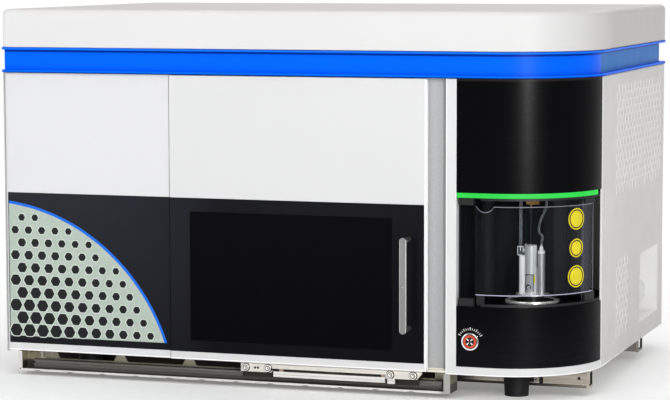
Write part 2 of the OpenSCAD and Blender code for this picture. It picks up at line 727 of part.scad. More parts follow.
// mains inlet with three blades, and the frame of the switch next to it
module power_inlet() color([0.1, 0.1, 0.1]) placed() {
  difference() {
    box(inlet_x - 13.9, body_d - 30, 46.1, inlet_x + 13.9, body_d - 0.1, 93.9);
    box(inlet_x - 8, body_d - 20, 54, inlet_x + 8, body_d + 1, 86);
  }
  for (z = [62, 70, 78]) box(inlet_x - (z == 70 ? 5 : 3), body_d - 20.1, z - 1, inlet_x + (z == 70 ? -1 : 1), body_d - 5, z + 1);
  difference() {
    box(inlet_x + 24.1, body_d - 22, 55.1, inlet_x + 39.9, body_d - 0.1, 84.9);
    box(inlet_x + 26, body_d - 19, 57, inlet_x + 38, body_d + 1, 83);
    xcyl(body_d - 8, 70, inlet_x + 23, inlet_x + 41, 1.5);
  }
}

module power_switch() color("black") placed() translate([0, body_d - 8, 70]) rotate([-8, 0, 0]) translate([0, 8 - body_d, -70]) difference() {
  union() {
    intersection() {
      xcyl(body_d - 8, 70, inlet_x + 26.3, inlet_x + 37.7, 10.5);
      box(inlet_x + 26, body_d - 12, 58, inlet_x + 38, body_d + 2, 82);
    }
    xcyl(body_d - 8, 70, inlet_x + 24.4, inlet_x + 39.6, 1.44);
  }
  xcyl(body_d + 17, 70, inlet_x + 20, inlet_x + 44, 18);
}

// ---------------------------------------------------------------- top cover

module lid_hinges() color("silver") placed() for (x = hinge_x) {
  // plate up the inside of the rear wall, two arms over the band, and the pin
  box(x, body_d - 24, panel_h, x + 40, body_d - 21, hinge_z - 6);
  for (e = [x, x + 35]) {
    box(e, body_d - 24, hinge_z - 10, e + 5, hinge_y, hinge_z - 2);
    xcyl(hinge_y, hinge_z, e, e + 5, 5);
  }
  xcyl(hinge_y, hinge_z, x + 1, x + 39, 3);
}

module cover_solid(o, h, f, rf, rb) {
  // straight walls, a smaller slab above, and a round upper edge
  linear_extrude(h - f) outline(o, rf, rb);
  linear_extrude(h) outline(o + f, rf, rb);
  translate([0, 0, h - f]) {
    xcyl(o + f, 0, o + rf - o, cx, f);
    xcyl(body_d - o - f, 0, o + rb - o, body_w - rb, f);
    translate([o + f, rf, 0]) rotate([-90, 0, 0]) cylinder(h = body_d - rf - rb, r = f);
    translate([body_w - o - f, cy, 0]) rotate([-90, 0, 0]) cylinder(h = body_d - cy - rb, r = f);
    for (c = [[rf, rf, rf, 180], [cx, cy, R, 270], [body_w - rb, body_d - rb, rb, 0], [rb, body_d - rb, rb, 90]])
      translate([c[0], c[1], 0]) rotate([0, 0, c[3]]) rotate_extrude(angle = 90, $fn = 144)
        translate([c[2] - o - f, 0]) intersection() { circle(f, $fn = 48); translate([0, -f]) square([f, 2 * f]); }
  }
}

module top_cover() color("white") placed() {
  translate([0, 0, cover_z0]) difference() {
    cover_solid(-lip_out + 1, cover_h, cover_f, 12, 12);
    translate([0, 0, -1]) linear_extrude(cover_h - 9) outline(-lip_out + 1 + cover_t, 12, 12);
    translate([0, 0, -1]) linear_extrude(cover_h - 2) outline(-lip_out + 8, 12, 12);
    // gaps in the rear wall for the hinge arms
    for (x = hinge_x) translate([x - 1.5, body_d - 20, -1]) cube([43, 60, 19]);
  }
  for (x = hinge_x) difference() {
    union() {
      box(x + 6, hinge_y - 6, hinge_z, x + 34, hinge_y + 2, cover_z1 - cover_f - 2);
      box(x + 6, hinge_y - 14, cover_z1 - cover_f - 12, x + 34, hinge_y - 3, cover_z1 - 2.5);
      xcyl(hinge_y, hinge_z, x + 6, x + 34, 5);
      box(x - 2, hinge_y - 3, hinge_z + 6.9, x + 42, hinge_y + 2, hinge_z + 12);
    }
    xcyl(hinge_y, hinge_z, x + 5, x + 35, 3.06);
  }
}

base_pan();
rubber_feet();
foot_studs();
front_cross_rail();
rear_cross_rail();
rail_end_caps();
chassis_posts();
left_front_panel();
left_glass();
left_side_panel();
right_side_panel();
vent_screens();
recess_liner();
recess_couplings();
rear_panel();
trim_band();
divider_strip();
column_frame();
column_upper_cover();
light_strip();
column_lower_cover();
bay_liner();
shield_guides();
station_ring();
tube_holder();
wash_cylinder();
bay_tubing();
stop_button_bezel();
door_tray();
door_rail();
sort_chamber();
nozzle_block();
deflection_plates();
stream_camera();
optical_bench();
laser_modules();
detector_arrays();
flow_cell_objective();
power_supply();
control_board();
fan_frames();
sheath_pump();
power_inlet();
lid_hinges();
top_cover();
door_panel();
door_glass();
door_handle();
door_brackets();
bracket_screws();
door_slide_strip();
sample_shield();
shield_shoes();
probe_guide_rail();
sample_probe();
stop_button();
fan_rotor_left();
fan_rotor_right();
power_switch();
collection_stage();
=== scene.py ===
import bpy, bmesh, math, json
from mathutils import Vector, Matrix

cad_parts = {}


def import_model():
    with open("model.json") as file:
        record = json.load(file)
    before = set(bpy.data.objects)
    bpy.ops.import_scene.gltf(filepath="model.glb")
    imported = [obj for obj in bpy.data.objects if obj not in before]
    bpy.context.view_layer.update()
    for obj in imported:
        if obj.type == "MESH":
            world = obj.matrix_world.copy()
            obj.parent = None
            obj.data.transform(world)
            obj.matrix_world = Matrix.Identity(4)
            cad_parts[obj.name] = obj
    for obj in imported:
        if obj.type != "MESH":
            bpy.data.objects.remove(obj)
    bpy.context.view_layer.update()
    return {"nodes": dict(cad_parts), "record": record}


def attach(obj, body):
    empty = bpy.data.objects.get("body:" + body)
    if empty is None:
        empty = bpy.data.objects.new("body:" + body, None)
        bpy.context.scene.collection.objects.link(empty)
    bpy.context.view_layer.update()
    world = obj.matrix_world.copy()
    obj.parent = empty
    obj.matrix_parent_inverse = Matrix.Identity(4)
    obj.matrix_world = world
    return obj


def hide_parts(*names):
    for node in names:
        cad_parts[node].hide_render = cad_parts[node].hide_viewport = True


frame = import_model()
nodes = frame["nodes"]


def P(x, y, z):
    """Panel coordinates in mm (x from the left side panel, y from the front panels, z from the lower panel edge) to the frame."""
    return Vector(((x - 547.0) / 1000.0, (y - 340.5) / 1000.0, (z + 46.5) / 1000.0))


# ------------------------------------------------------------------ camera, lights, floor
AZ, EL, ROLL = math.radians(18.705), math.radians(5.590), math.radians(-0.135)
fwd = Vector((-math.sin(AZ) * math.cos(EL), math.cos(AZ) * math.cos(EL), -math.sin(EL)))
rgt = Vector((math.cos(AZ), math.sin(AZ), 0))
upv = rgt.cross(fwd)
r2 = rgt * math.cos(ROLL) + upv * math.sin(ROLL)
u2 = -rgt * math.sin(ROLL) + upv * math.cos(ROLL)
cam_data = bpy.data.cameras.new("Camera")
cam_data.sensor_fit = "HORIZONTAL"
cam_data.sensor_width = 36.0
cam_data.lens = 2445.83 / 670.0 * 36.0
cam_data.clip_start, cam_data.clip_end = 0.05, 200.0
cam = bpy.data.objects.new("Camera", cam_data)
rot = Matrix((r2, u2, -fwd)).transposed().to_4x4()
cam.matrix_world = Matrix.Translation(Vector((1.4804, -4.4170, 0.7666))) @ rot
bpy.context.scene.collection.objects.link(cam)
bpy.context.scene.camera = cam

scene = bpy.context.scene
scene.view_settings.view_transform = "Standard"
scene.view_settings.look = "None"
scene.view_settings.exposure = 0.0
scene.view_settings.gamma = 1.0

world = bpy.data.worlds.new("World")
scene.world = world
world.use_nodes = True
wn = world.node_tree
wn.nodes.clear()
wo = wn.nodes.new("ShaderNodeOutputWorld")
wb = wn.nodes.new("ShaderNodeBackground")
wb.inputs[0].default_value = (0.93, 0.94, 0.95, 1)
wn.links.new(wb.outputs[0], wo.inputs[0])
# an even sky with a thin bright band at the horizon, where the backdrop meets the floor
wtc = wn.nodes.new("ShaderNodeTexCoord")
wsep = wn.nodes.new("ShaderNodeSeparateXYZ")
wn.links.new(wtc.outputs["Generated"], wsep.inputs[0])
wmr = wn.nodes.new("ShaderNodeMapRange")
for k, v in (("From Min", 0.015), ("From Max", 0.10), ("To Min", 1.10), ("To Max", 0.62)):
    wmr.inputs[k].default_value = v
wn.links.new(wsep.outputs[2], wmr.inputs["Value"])
wn.links.new(wmr.outputs["Result"], wb.inputs[1])


def area(name, loc, target, sx, sy, energy, color=(1, 1, 1)):
    d = bpy.data.lights.new(name, "AREA")
    d.shape = "RECTANGLE"
    d.size, d.size_y = sx, sy
    d.energy = energy
    d.color = color
    o = bpy.data.objects.new(name, d)
    o.location = loc
    o.rotation_euler = (Vector(target) - Vector(loc)).to_track_quat("-Z", "Y").to_euler()
    scene.collection.objects.link(o)
    return o


area("key_softbox", (-2.6, -4.6, 2.9), (0, -0.3, 0.35), 2.4, 2.4, 60, (1.0, 0.99, 0.98))
area("strip_softbox", (2.55, -3.80, 1.35), (0.35, -0.2, 0.45), 0.62, 2.3, 44, (1.0, 0.99, 0.98))
# narrow reflector that only shows as a gloss on the round column
strip = area("strip_reflector", (2.62, -3.80, 1.45), (0.35, -0.2, 0.45), 0.42, 2.0, 340, (1.0, 0.995, 0.99))
strip.visible_diffuse = False
area("top_softbox", (0.2, 0.2, 3.6), (0, 0, 0.5), 2.6, 2.0, 26, (1.0, 0.985, 0.96))
area("rear_softbox", (1.4, 4.2, 2.6), (0, 0.2, 0.3), 2.2, 1.8, 30, (1.0, 0.99, 0.98))


# ------------------------------------------------------------------ materials
class NT:
    def __init__(self, name):
        self.m = bpy.data.materials.new(name)
        self.m.use_nodes = True
        self.t = self.m.node_tree
        self.t.nodes.clear()
        self.out = self.n("ShaderNodeOutputMaterial")
        self.b = self.n("ShaderNodeBsdfPrincipled")
        self.l(self.b.outputs["BSDF"], self.out.inputs["Surface"])
        self.tc = None

    def n(self, kind, **kw):
        node = self.t.nodes.new(kind)
        for k, v in kw.items():
            setattr(node, k, v)
        return node

    def l(self, a, b):
        self.t.links.new(a, b)

    def set(self, **kw):
        for k, v in kw.items():
            key = k.replace("_", " ")
            s = self.b.inputs[key]
            if isinstance(v, (tuple, list)) and len(v) == 3:
                v = (*v, 1.0)
            s.default_value = v

    def coords(self, scale=(1, 1, 1), rot=(0, 0, 0), loc=(0, 0, 0)):
        if self.tc is None:
            self.tc = self.n("ShaderNodeTexCoord")
        mp = self.n("ShaderNodeMapping")
        mp.inputs["Scale"].default_value = scale
        mp.inputs["Rotation"].default_value = rot
        mp.inputs["Location"].default_value = loc
        self.l(self.tc.outputs["Object"], mp.inputs["Vector"])
        return mp.outputs[0]

    def noise(self, scale, detail=3.0, rough=0.5, vec=None, distortion=0.0):
        nn = self.n("ShaderNodeTexNoise")
        nn.inputs["Scale"].default_value = scale
        nn.inputs["Detail"].default_value = detail
        nn.inputs["Roughness"].default_value = rough
        nn.inputs["Distortion"].default_value = distortion
        self.l(vec if vec is not None else self.coords(), nn.inputs["Vector"])
        return nn.outputs["Fac"]

    def rng(self, v, a, b, c, d):
        mr = self.n("ShaderNodeMapRange")
        mr.inputs["From Min"].default_value = a
        mr.inputs["From Max"].default_value = b
        mr.inputs["To Min"].default_value = c
        mr.inputs["To Max"].default_value = d
        self.l(v, mr.inputs["Value"])
        return mr.outputs["Result"]

    def math(self, op, a, b=None, clamp=False):
        mt = self.n("ShaderNodeMath", operation=op, use_clamp=clamp)
        for i, v in enumerate((a, b)):
            if v is None:
                continue
            if isinstance(v, (int, float)):
                mt.inputs[i].default_value = v
            else:
                self.l(v, mt.inputs[i])
        return mt.outputs[0]

    def mixc(self, fac, a, b):
        mx = self.n("ShaderNodeMix", data_type="RGBA")
        for key, v in (("Factor", fac), ("A", a), ("B", b)):
            sock = [s for s in mx.inputs if s.name == key and (s.type == "RGBA" or key == "Factor" and s.type == "VALUE")][0]
            if isinstance(v, (int, float)):
                sock.default_value = v
            elif isinstance(v, (tuple, list)):
                sock.default_value = (*v[:3], 1.0)
            else:
                self.l(v, sock)
        return [s for s in mx.outputs if s.type == "RGBA"][0]

    def xyz(self):
        if self.tc is None:
            self.tc = self.n("ShaderNodeTexCoord")
        sp = self.n("ShaderNodeSeparateXYZ")
        self.l(self.tc.outputs["Object"], sp.inputs[0])
        return sp.outputs

    def band(self, v, lo, hi, soft=0.0004):
        """1 where lo < v < hi."""
        a = self.rng(v, lo - soft, lo + soft, 0, 1)
        b = self.rng(v, hi - soft, hi + soft, 1, 0)
        return self.math("MULTIPLY", a, b)

    def dist(self, a, b, centres):
        """Distance in the plane of sockets a and b to the nearest of some centres."""
        best = None
        for ca, cb in centres:
            da, db = self.math("SUBTRACT", a, ca), self.math("SUBTRACT", b, cb)
            d = self.math("SQRT", self.math("ADD", self.math("MULTIPLY", da, da), self.math("MULTIPLY", db, db)))
            best = d if best is None else self.math("MINIMUM", best, d)
        return best

    def bump(self, height, strength, dist=0.001, bevel=0.0):
        bp = self.n("ShaderNodeBump")
        bp.inputs["Strength"].default_value = strength
        bp.inputs["Distance"].default_value = dist
        self.l(height, bp.inputs["Height"])
        if bevel:
            bv = self.n("ShaderNodeBevel", samples=4)
            bv.inputs["Radius"].default_value = bevel
            self.l(bv.outputs[0], bp.inputs["Normal"])
        self.l(bp.outputs[0], self.b.inputs["Normal"])

    def color(self, sock):
        self.l(sock, self.b.inputs["Base Color"])

    def rough(self, sock):
        self.l(sock, self.b.inputs["Roughness"])


def scaled(c, k):
    return tuple(min(1.0, x * k) for x in c)


def paint(name, base, r=(0.34, 0.46), peel=0.10, var=0.03, ior=1.45, bevel=0.0009, dirt=0.0):
    m = NT(name)
    m.set(IOR=ior)
    big = m.noise(2.3, 3, 0.55)
    c = m.mixc(m.rng(big, 0.3, 0.7, 0, 1), scaled(base, 1 - var), scaled(base, 1 + var * 0.4))
    if dirt:
        c = m.mixc(m.rng(m.noise(38, 5, 0.65), 0.58, 0.80, 0, dirt), c, scaled(base, 0.72))
    m.color(c)
    m.rough(m.rng(m.noise(22, 4, 0.6), 0.3, 0.7, r[0], r[1]))
    m.bump(m.noise(900, 2, 0.5), peel, 0.0004, bevel)
    return m.m


def plastic(name, base, r=(0.32, 0.42), grain=0.10, gscale=2200, var=0.05, ior=1.45, bevel=0.0007):
    m = NT(name)
    m.set(IOR=ior)
    c = m.mixc(m.rng(m.noise(3.1, 3, 0.5), 0.3, 0.7, 0, 1), scaled(base, 1 - var), scaled(base, 1 + var))
    m.color(c)
    m.rough(m.rng(m.noise(30, 4, 0.6), 0.3, 0.7, r[0], r[1]))
    m.bump(m.noise(gscale, 2, 0.6), grain, 0.0003, bevel)
    return m.m


def metal(name, base, r=(0.28, 0.42), brush=(4, 700, 700), strength=0.12, var=0.10, bevel=0.0004, stains=0.0, spec=1.5):
    m = NT(name)
    m.set(Metallic=1.0, IOR=spec)
    v = m.coords(scale=brush)
    lines = m.noise(1.0, 4, 0.65, vec=v)
    c = m.mixc(m.rng(lines, 0.3, 0.7, 0, 1), scaled(base, 1 - var), scaled(base, 1 + var))
    if stains:
        c = m.mixc(m.rng(m.noise(16, 5, 0.7), 0.45, 0.75, 0, stains), c, scaled(base, 0.7))
    m.color(c)
    m.rough(m.rng(lines, 0.25, 0.75, r[0], r[1]))
    m.bump(lines, strength, 0.0002, bevel)
    return m.m


MAT = {}


def white_part(name, base, edges=None, r=(0.34, 0.46), ior=1.28, walls=None):
    """Powder coat with a painted highlight on the outermost millimetres, where a rounded edge catches the light.
    edges is a list of (axis, from, to) in panel mm for these highlights; walls is (x from, x to, emission strength) in
    panel mm for cut openings, whose walls get painted light, with painted shade on the panel towards the rear."""
    m = NT(name)
    m.set(IOR=ior)
    c = m.mixc(m.rng(m.noise(2.3, 3, 0.55), 0.3, 0.7, 0, 1), scaled(base, 0.985), scaled(base, 1.01))
    c = m.mixc(m.rng(m.noise(38, 5, 0.65), 0.60, 0.80, 0, 0.03), c, scaled(base, 0.75))
    # painted highlight along the listed edges
    if edges:
        ax = dict(zip("xyz", m.xyz()))
        tot = None
        for k, lo, hi in edges:
            p0, p1 = P(lo, lo, lo), P(hi, hi, hi)
            i = "xyz".index(k)
            b = m.band(ax[k], p0[i], p1[i], 0.0003)
            tot = b if tot is None else m.math("MAXIMUM", tot, b)
        c = m.mixc(tot, c, (0.97, 0.97, 0.97))
    # painted light with a faint emission on the walls of the cut openings, and painted shade towards the rear of the
    # panel
    if walls:
        p0, p1 = P(walls[0], 0, 0).x, P(walls[1], 0, 0).x
        w = m.band(m.xyz()[0], p0, p1, 0.0002)
        c = m.mixc(m.rng(m.xyz()[1], P(0, 210, 0).y, P(0, 380, 0).y, 0, 1), c, scaled(base, 0.92))
        c = m.mixc(w, c, (0.70, 0.675, 0.69))
        m.set(Emission_Color=(1.0, 0.98, 0.99))
        m.l(m.math("MULTIPLY", w, walls[2]), m.b.inputs["Emission Strength"])
    m.color(c)
    m.rough(m.rng(m.noise(22, 4, 0.6), 0.3, 0.7, r[0], r[1]))
    m.bump(m.noise(900, 2, 0.5), 0.08, 0.0004, 0.0009)
    return m.m


MAT["white_panel"] = paint("white_panel_paint", (0.80, 0.80, 0.81), ior=1.28)
# the edge bands listed here carry painted highlights
MAT["door_white"] = white_part("door_panel_paint", (0.705, 0.705, 0.708), [("z", -1, 2.6), ("x", 812.6, 816)])
MAT["front_white"] = white_part("front_panel_paint", (0.725, 0.725, 0.735), [("z", -1, 2.6)])
MAT["frame_white"] = white_part("column_frame_paint", (0.71, 0.71, 0.715), [("z", -3, 0.2), ("x", 850, 852.6)])
# painted shade: the side panels use darker copies of the white paint, for faces turned away from the light
MAT["side_panel"] = paint("side_panel_paint", (0.61, 0.60, 0.59), dirt=0.04, ior=1.28)
MAT["side_right"] = white_part("side_panel_shaded_paint_right", (0.575, 0.563, 0.552), [("y", 150, 154.6), ("z", -3, 0.4)], walls=(1091.0, 1093.75, 0.15))


def lid_mat():
    """Smooth white moulding, with painted shade on its flat right side and towards its right end, and painted warm
    shade on its top.
    """
    m = NT("cover_white_moulding")
    m.set(IOR=1.13)
    x, y, z = m.xyz()
    c = m.mixc(m.rng(m.noise(3.1, 3, 0.5), 0.3, 0.7, 0, 1), (0.715, 0.712, 0.712), (0.735, 0.732, 0.732))
    # painted shade on the flat right side, and a painted shade gradient towards the right end
    side = m.math("MULTIPLY", m.rng(x, P(1020, 0, 0).x, P(1086, 0, 0).x, 0, 1), m.rng(y, P(0, 20, 0).y, P(0, 230, 0).y, 0, 1))
    c = m.mixc(m.rng(x, P(940, 0, 0).x, P(1060, 0, 0).x, 0, 0.2), c, (0.480, 0.475, 0.470))
    c = m.mixc(side, c, (0.480, 0.468, 0.450))
    # painted warm shade on the top
    c = m.mixc(m.rng(z, P(0, 0, 630.5).z, P(0, 0, 632.6).z, 0, 1), c, (0.690, 0.648, 0.622))
    m.color(c)
    m.rough(m.rng(m.noise(30, 4, 0.6), 0.3, 0.7, 0.32, 0.42))
    m.bump(m.noise(1400, 2, 0.6), 0.03, 0.0003, 0.0015)
    return m.m


MAT["cover_white"] = lid_mat()


def blue_mat():
    """Blue paint with painted shadow under the upper lip, along the lower edge and on top of the upper lip, a painted
    highlight on the upper lip, and a painted grey reflection on the web along the flat side.
    """
    m = NT("blue_trim_paint")
    m.set(IOR=1.09)
    x, y, z = m.xyz()
    base = m.mixc(m.rng(m.noise(2.3, 3, 0.55), 0.3, 0.7, 0, 1), (0.0, 0.138, 0.93), (0.0, 0.152, 1.0))
    # painted reflection: the web along the flat side turns greyer
    side = m.math("MULTIPLY", m.rng(x, P(1080.5, 0, 0).x, P(1082.5, 0, 0).x, 0, 1), m.rng(y, P(0, 176, 0).y, P(0, 179, 0).y, 0, 1))
    web = m.band(z, P(0, 0, 521.6).z, P(0, 0, 558.4).z, 0.0002)
    c = m.mixc(m.math("MULTIPLY", side, web), base, (0.012, 0.170, 0.50))
    # painted shadow lines under the upper lip and along the lower edge
    line = m.math("ADD", m.band(z, P(0, 0, 554.6).z, P(0, 0, 558.6).z, 0.0008), m.band(z, P(0, 0, 516.5).z, P(0, 0, 518.3).z, 0.0003), clamp=True)
    c = m.mixc(m.math("MULTIPLY", line, 0.80), c, (0.0, 0.010, 0.16))
    # painted highlight on the upper lip
    lip = m.band(z, P(0, 0, 559.6).z, P(0, 0, 562.0).z, 0.0004)
    c = m.mixc(m.math("MULTIPLY", lip, 0.20), c, (0.05, 0.26, 1.0))
    # painted shadow on top of the upper lip, stronger towards the right
    top = m.math("MULTIPLY", m.rng(z, P(0, 0, 561.9).z, P(0, 0, 562.5).z, 0, 1), m.rng(x, P(200, 0, 0).x, P(700, 0, 0).x, 0.25, 0.85))
    c = m.mixc(top, c, (0.0, 0.012, 0.17))
    m.color(c)
    m.rough(m.rng(m.noise(22, 4, 0.6), 0.3, 0.7, 0.30, 0.38))
    m.bump(m.noise(900, 2, 0.5), 0.05, 0.0004, 0.0009)
    return m.m


MAT["blue_trim"] = blue_mat()


def black_cover_mat():
    m = NT("black_cover_moulding")
    m.set(IOR=1.125)
    x, y, z = m.xyz()
    c = m.mixc(m.rng(m.noise(3.1, 3, 0.5), 0.3, 0.7, 0, 1), (0.0003, 0.0003, 0.0009), (0.0006, 0.0006, 0.0013))
    # a painted warm reflection in the joint under the band, and the lower cover lighter and bluer towards the bottom
    low = m.rng(z, P(0, 0, 110).z, P(0, 0, 13).z, 0.0, 1.0)
    c = m.mixc(m.math("MULTIPLY", low, m.band(z, P(0, 0, 0).z, P(0, 0, 122).z)), c, (0.0046, 0.0044, 0.0062))
    c = m.mixc(m.band(z, P(0, 0, 512.6).z, P(0, 0, 517).z, 0.0006), c, (0.018, 0.015, 0.011))
    m.color(c)
    streak = m.noise(1.0, 4, 0.6, vec=m.coords(scale=(5, 5, 260)))
    m.rough(m.rng(streak, 0.3, 0.7, 0.262, 0.290))
    m.bump(streak, 0.004, 0.0004, 0.0007)
    return m.m


MAT["black_cover"] = black_cover_mat()


def liner_mat():
    """Satin black liner with soft upright streaks; painted light towards the right, where the light gets in, and a
    painted highlight near the left.
    """
    m = NT("bay_liner_black")
    m.set(IOR=1.09)
    x, y, z = m.xyz()
    v = m.noise(1.0, 3, 0.55, vec=m.coords(scale=(60, 60, 1.5)))
    # painted light towards the right
    right = m.rng(x, P(974, 0, 0).x, P(1003, 0, 0).x, 0.0, 1.0)
    c = m.mixc(right, (0.0040, 0.0043, 0.0062), (0.0680, 0.0660, 0.0780))
    # painted highlight near the left
    glow = m.math("MULTIPLY", m.band(x, P(877, 0, 0).x, P(887, 0, 0).x, 0.005), 0.95)
    c = m.mixc(glow, c, (0.050, 0.050, 0.056))
    c = m.mixc(m.math("MULTIPLY", m.band(x, P(940, 0, 0).x, P(968, 0, 0).x, 0.003), 0.6), c, (0.0040, 0.0090, 0.0170))
    c = m.mixc(m.math("MULTIPLY", m.band(x, P(990, 0, 0).x, P(997, 0, 0).x, 0.002), 0.5), c, (0.0040, 0.0042, 0.0060))
    c = m.mixc(m.rng(v, 0.35, 0.70, 0.0, 0.45), c, (0.0035, 0.0036, 0.0050))
    m.color(c)
    m.rough(m.rng(v, 0.3, 0.7, 0.42, 0.55))
    m.bump(v, 0.02, 0.0004, 0.0008)
    return m.m


MAT["bay_liner"] = liner_mat()
MAT["brushed_aluminium"] = metal("brushed_aluminium", (0.62, 0.63, 0.64), brush=(900, 900, 6), strength=0.10)


def divider_mat():
    m = NT("divider_aluminium")
    m.set(Metallic=1.0)
    x, y, z = m.xyz()
    g = m.noise(1.0, 5, 0.7, vec=m.coords(scale=(420, 420, 300)))
    c = m.mixc(m.rng(g, 0.3, 0.7, 0, 1), (0.285, 0.288, 0.292), (0.365, 0.368, 0.371))
    # painted shade towards the white frame on the right
    sh = m.rng(x, P(828, 0, 0).x, P(849.5, 0, 0).x, 0.0, 0.50)
    c = m.mixc(sh, c, (0.185, 0.185, 0.188))
    c = m.mixc(m.band(x, P(813, 0, 0).x, P(819.5, 0, 0).x, 0.0015), c, (0.30, 0.30, 0.305))
    c = m.mixc(m.band(z, P(0, 0, -1).z, P(0, 0, 5.5).z, 0.0006), c, (0.62, 0.59, 0.52))
    m.color(c)
    m.rough(m.rng(g, 0.25, 0.75, 0.46, 0.60))
    m.bump(g, 0.05, 0.0002, 0.0004)
    return m.m


MAT["divider"] = divider_mat()


def handle_mat():
    m = NT("handle_aluminium")
    m.set(Metallic=1.0)
    x, y, z = m.xyz()
    g = m.noise(1.0, 4, 0.6, vec=m.coords(scale=(900, 900, 10)))
    c = m.mixc(m.rng(g, 0.3, 0.7, 0, 1), (0.215, 0.215, 0.215), (0.255, 0.255, 0.255))
    # painted highlights on the two bevelled edges
    edge = m.math("MAXIMUM", m.band(x, P(776, 0, 0).x, P(779.0, 0, 0).x, 0.0003), m.band(x, P(788.8, 0, 0).x, P(791, 0, 0).x, 0.0003))
    c = m.mixc(edge, c, (0.50, 0.50, 0.50))
    m.color(c)
    m.rough(m.rng(g, 0.25, 0.75, 0.34, 0.46))
    m.bump(g, 0.06, 0.0002, 0.0010)
    return m.m


MAT["handle"] = handle_mat()
MAT["tray_aluminium"] = metal("tray_aluminium", (0.66, 0.65, 0.63), r=(0.36, 0.52), brush=(5, 600, 600), var=0.07, stains=0.35)


def streaked(m, lo, hi, scale=(3.0, 500, 500), c0=0.30, c1=0.72):
    v = m.noise(1.0, 5, 0.7, vec=m.coords(scale=scale))
    return m.mixc(m.rng(v, c0, c1, 0, 1), lo, hi), v


def tray_mat():
    """Satin extrusion: pale on its outer faces and darker towards its right end; inside the trough, painted shade,
    olive grey higher up and dark and streaked lower down.
    """
    m = NT("tray_extrusion")
    m.set(Metallic=1.0)
    x, y, z = m.xyz()
    pale, v = streaked(m, (0.60, 0.585, 0.565), (0.76, 0.745, 0.72))
    pale = m.mixc(m.rng(m.noise(26, 5, 0.7), 0.50, 0.72, 0, 0.5), pale, (0.42, 0.39, 0.36))
    pale = m.mixc(m.math("MULTIPLY", m.rng(x, P(835, 0, 0).x, P(846, 0, 0).x, 0, 1), 0.85), pale, (0.30, 0.29, 0.275))
    dark, v2 = streaked(m, (0.060, 0.052, 0.046), (0.16, 0.14, 0.125))
    olive = m.mixc(m.rng(m.noise(90, 4, 0.7), 0.35, 0.65, 0, 1), (0.26, 0.24, 0.18), (0.40, 0.37, 0.29))
    # painted shade inside the trough, deepest near the bottom
    inside = m.rng(y, P(0, 6.4, 0).y, P(0, 7.6, 0).y, 0, 1)
    low = m.rng(z, P(0, 0, -21).z, P(0, 0, -24).z, 0, 1)
    ins = m.mixc(low, olive, dark)
    m.color(m.mixc(inside, pale, ins))
    m.rough(m.rng(v, 0.25, 0.75, 0.36, 0.54))
    m.bump(v, 0.08, 0.0002, 0.0005)
    return m.m


def dark_rail_mat():
    m = NT("door_rail_steel")
    m.set(Metallic=1.0)
    x, y, z = m.xyz()
    c, v = streaked(m, (0.070, 0.064, 0.060), (0.23, 0.215, 0.20), scale=(2.2, 700, 700), c0=0.32, c1=0.74)
    # scratches left by the rollers
    w = m.noise(1.0, 3, 0.8, vec=m.coords(scale=(9, 900, 1500)))
    c = m.mixc(m.rng(w, 0.66, 0.74, 0, 0.6), c, (0.62, 0.60, 0.58))
    m.color(c)
    m.rough(m.rng(v, 0.25, 0.75, 0.34, 0.50))
    m.bump(v, 0.10, 0.0002, 0.0004)
    return m.m


def cross_rail_mat():
    """Warm grey channel, clean where it shows beside the foot, with painted shadow darkening it behind the tray."""
    m = NT("cross_rail_steel")
    m.set(Metallic=1.0)
    x, y, z = m.xyz()
    c, v = streaked(m, (0.27, 0.238, 0.198), (0.46, 0.420, 0.365), scale=(7, 300, 500))
    c = m.mixc(m.rng(m.noise(16, 5, 0.7), 0.45, 0.75, 0, 0.4), c, (0.36, 0.32, 0.27))
    left = m.rng(x, P(850, 0, 0).x, P(884, 0, 0).x, 1.0, 0.0)
    # painted shade on the lower rolled edge, lighter towards the right end, a painted highlight line above it, a
    # painted shadow line under the top edge, a faint light line along the middle, darker towards the right end, and
    # painted shade inside the channel
    lip = m.mixc(m.rng(x, P(1005, 0, 0).x, P(1075, 0, 0).x, 0, 1), (0.022, 0.018, 0.014), (0.17, 0.15, 0.12))
    c = m.mixc(m.math("MULTIPLY", m.band(z, P(0, 0, -34).z, P(0, 0, -27.4).z, 0.0005), 0.92), c, lip)
    c = m.mixc(m.math("MULTIPLY", m.band(z, P(0, 0, -26.8).z, P(0, 0, -25.6).z, 0.0003), 0.6), c, (0.70, 0.66, 0.60))
    c = m.mixc(m.math("MULTIPLY", m.band(z, P(0, 0, -6.6).z, P(0, 0, -4.8).z, 0.0004), 0.6), c, (0.11, 0.095, 0.080))
    c = m.mixc(m.math("MULTIPLY", m.band(z, P(0, 0, -14.5).z, P(0, 0, -13.2).z, 0.0004), 0.35), c, (0.68, 0.64, 0.58))
    c = m.mixc(m.rng(x, P(1000, 0, 0).x, P(1072, 0, 0).x, 0, 0.12), c, (0.105, 0.092, 0.078))
    c = m.mixc(m.rng(y, P(0, 106.0, 0).y, P(0, 106.6, 0).y, 0, 1), c, (0.030, 0.026, 0.023))
    # painted shadow behind the tray
    c = m.mixc(left, c, (0.045, 0.040, 0.037))
    # small bolts of the splice
    d = m.dist(x, z, [(P(988, 0, 0).x, P(0, 0, -9).z), (P(988, 0, 0).x, P(0, 0, -21).z), (P(1012, 0, 0).x, P(0, 0, -12).z)])
    c = m.mixc(m.rng(d, 0.0016, 0.0019, 1, 0), c, (0.10, 0.09, 0.08))
    m.color(c)
    m.rough(m.rng(v, 0.25, 0.75, 0.34, 0.50))
    m.bump(v, 0.10, 0.0002, 0.0006)
    return m.m


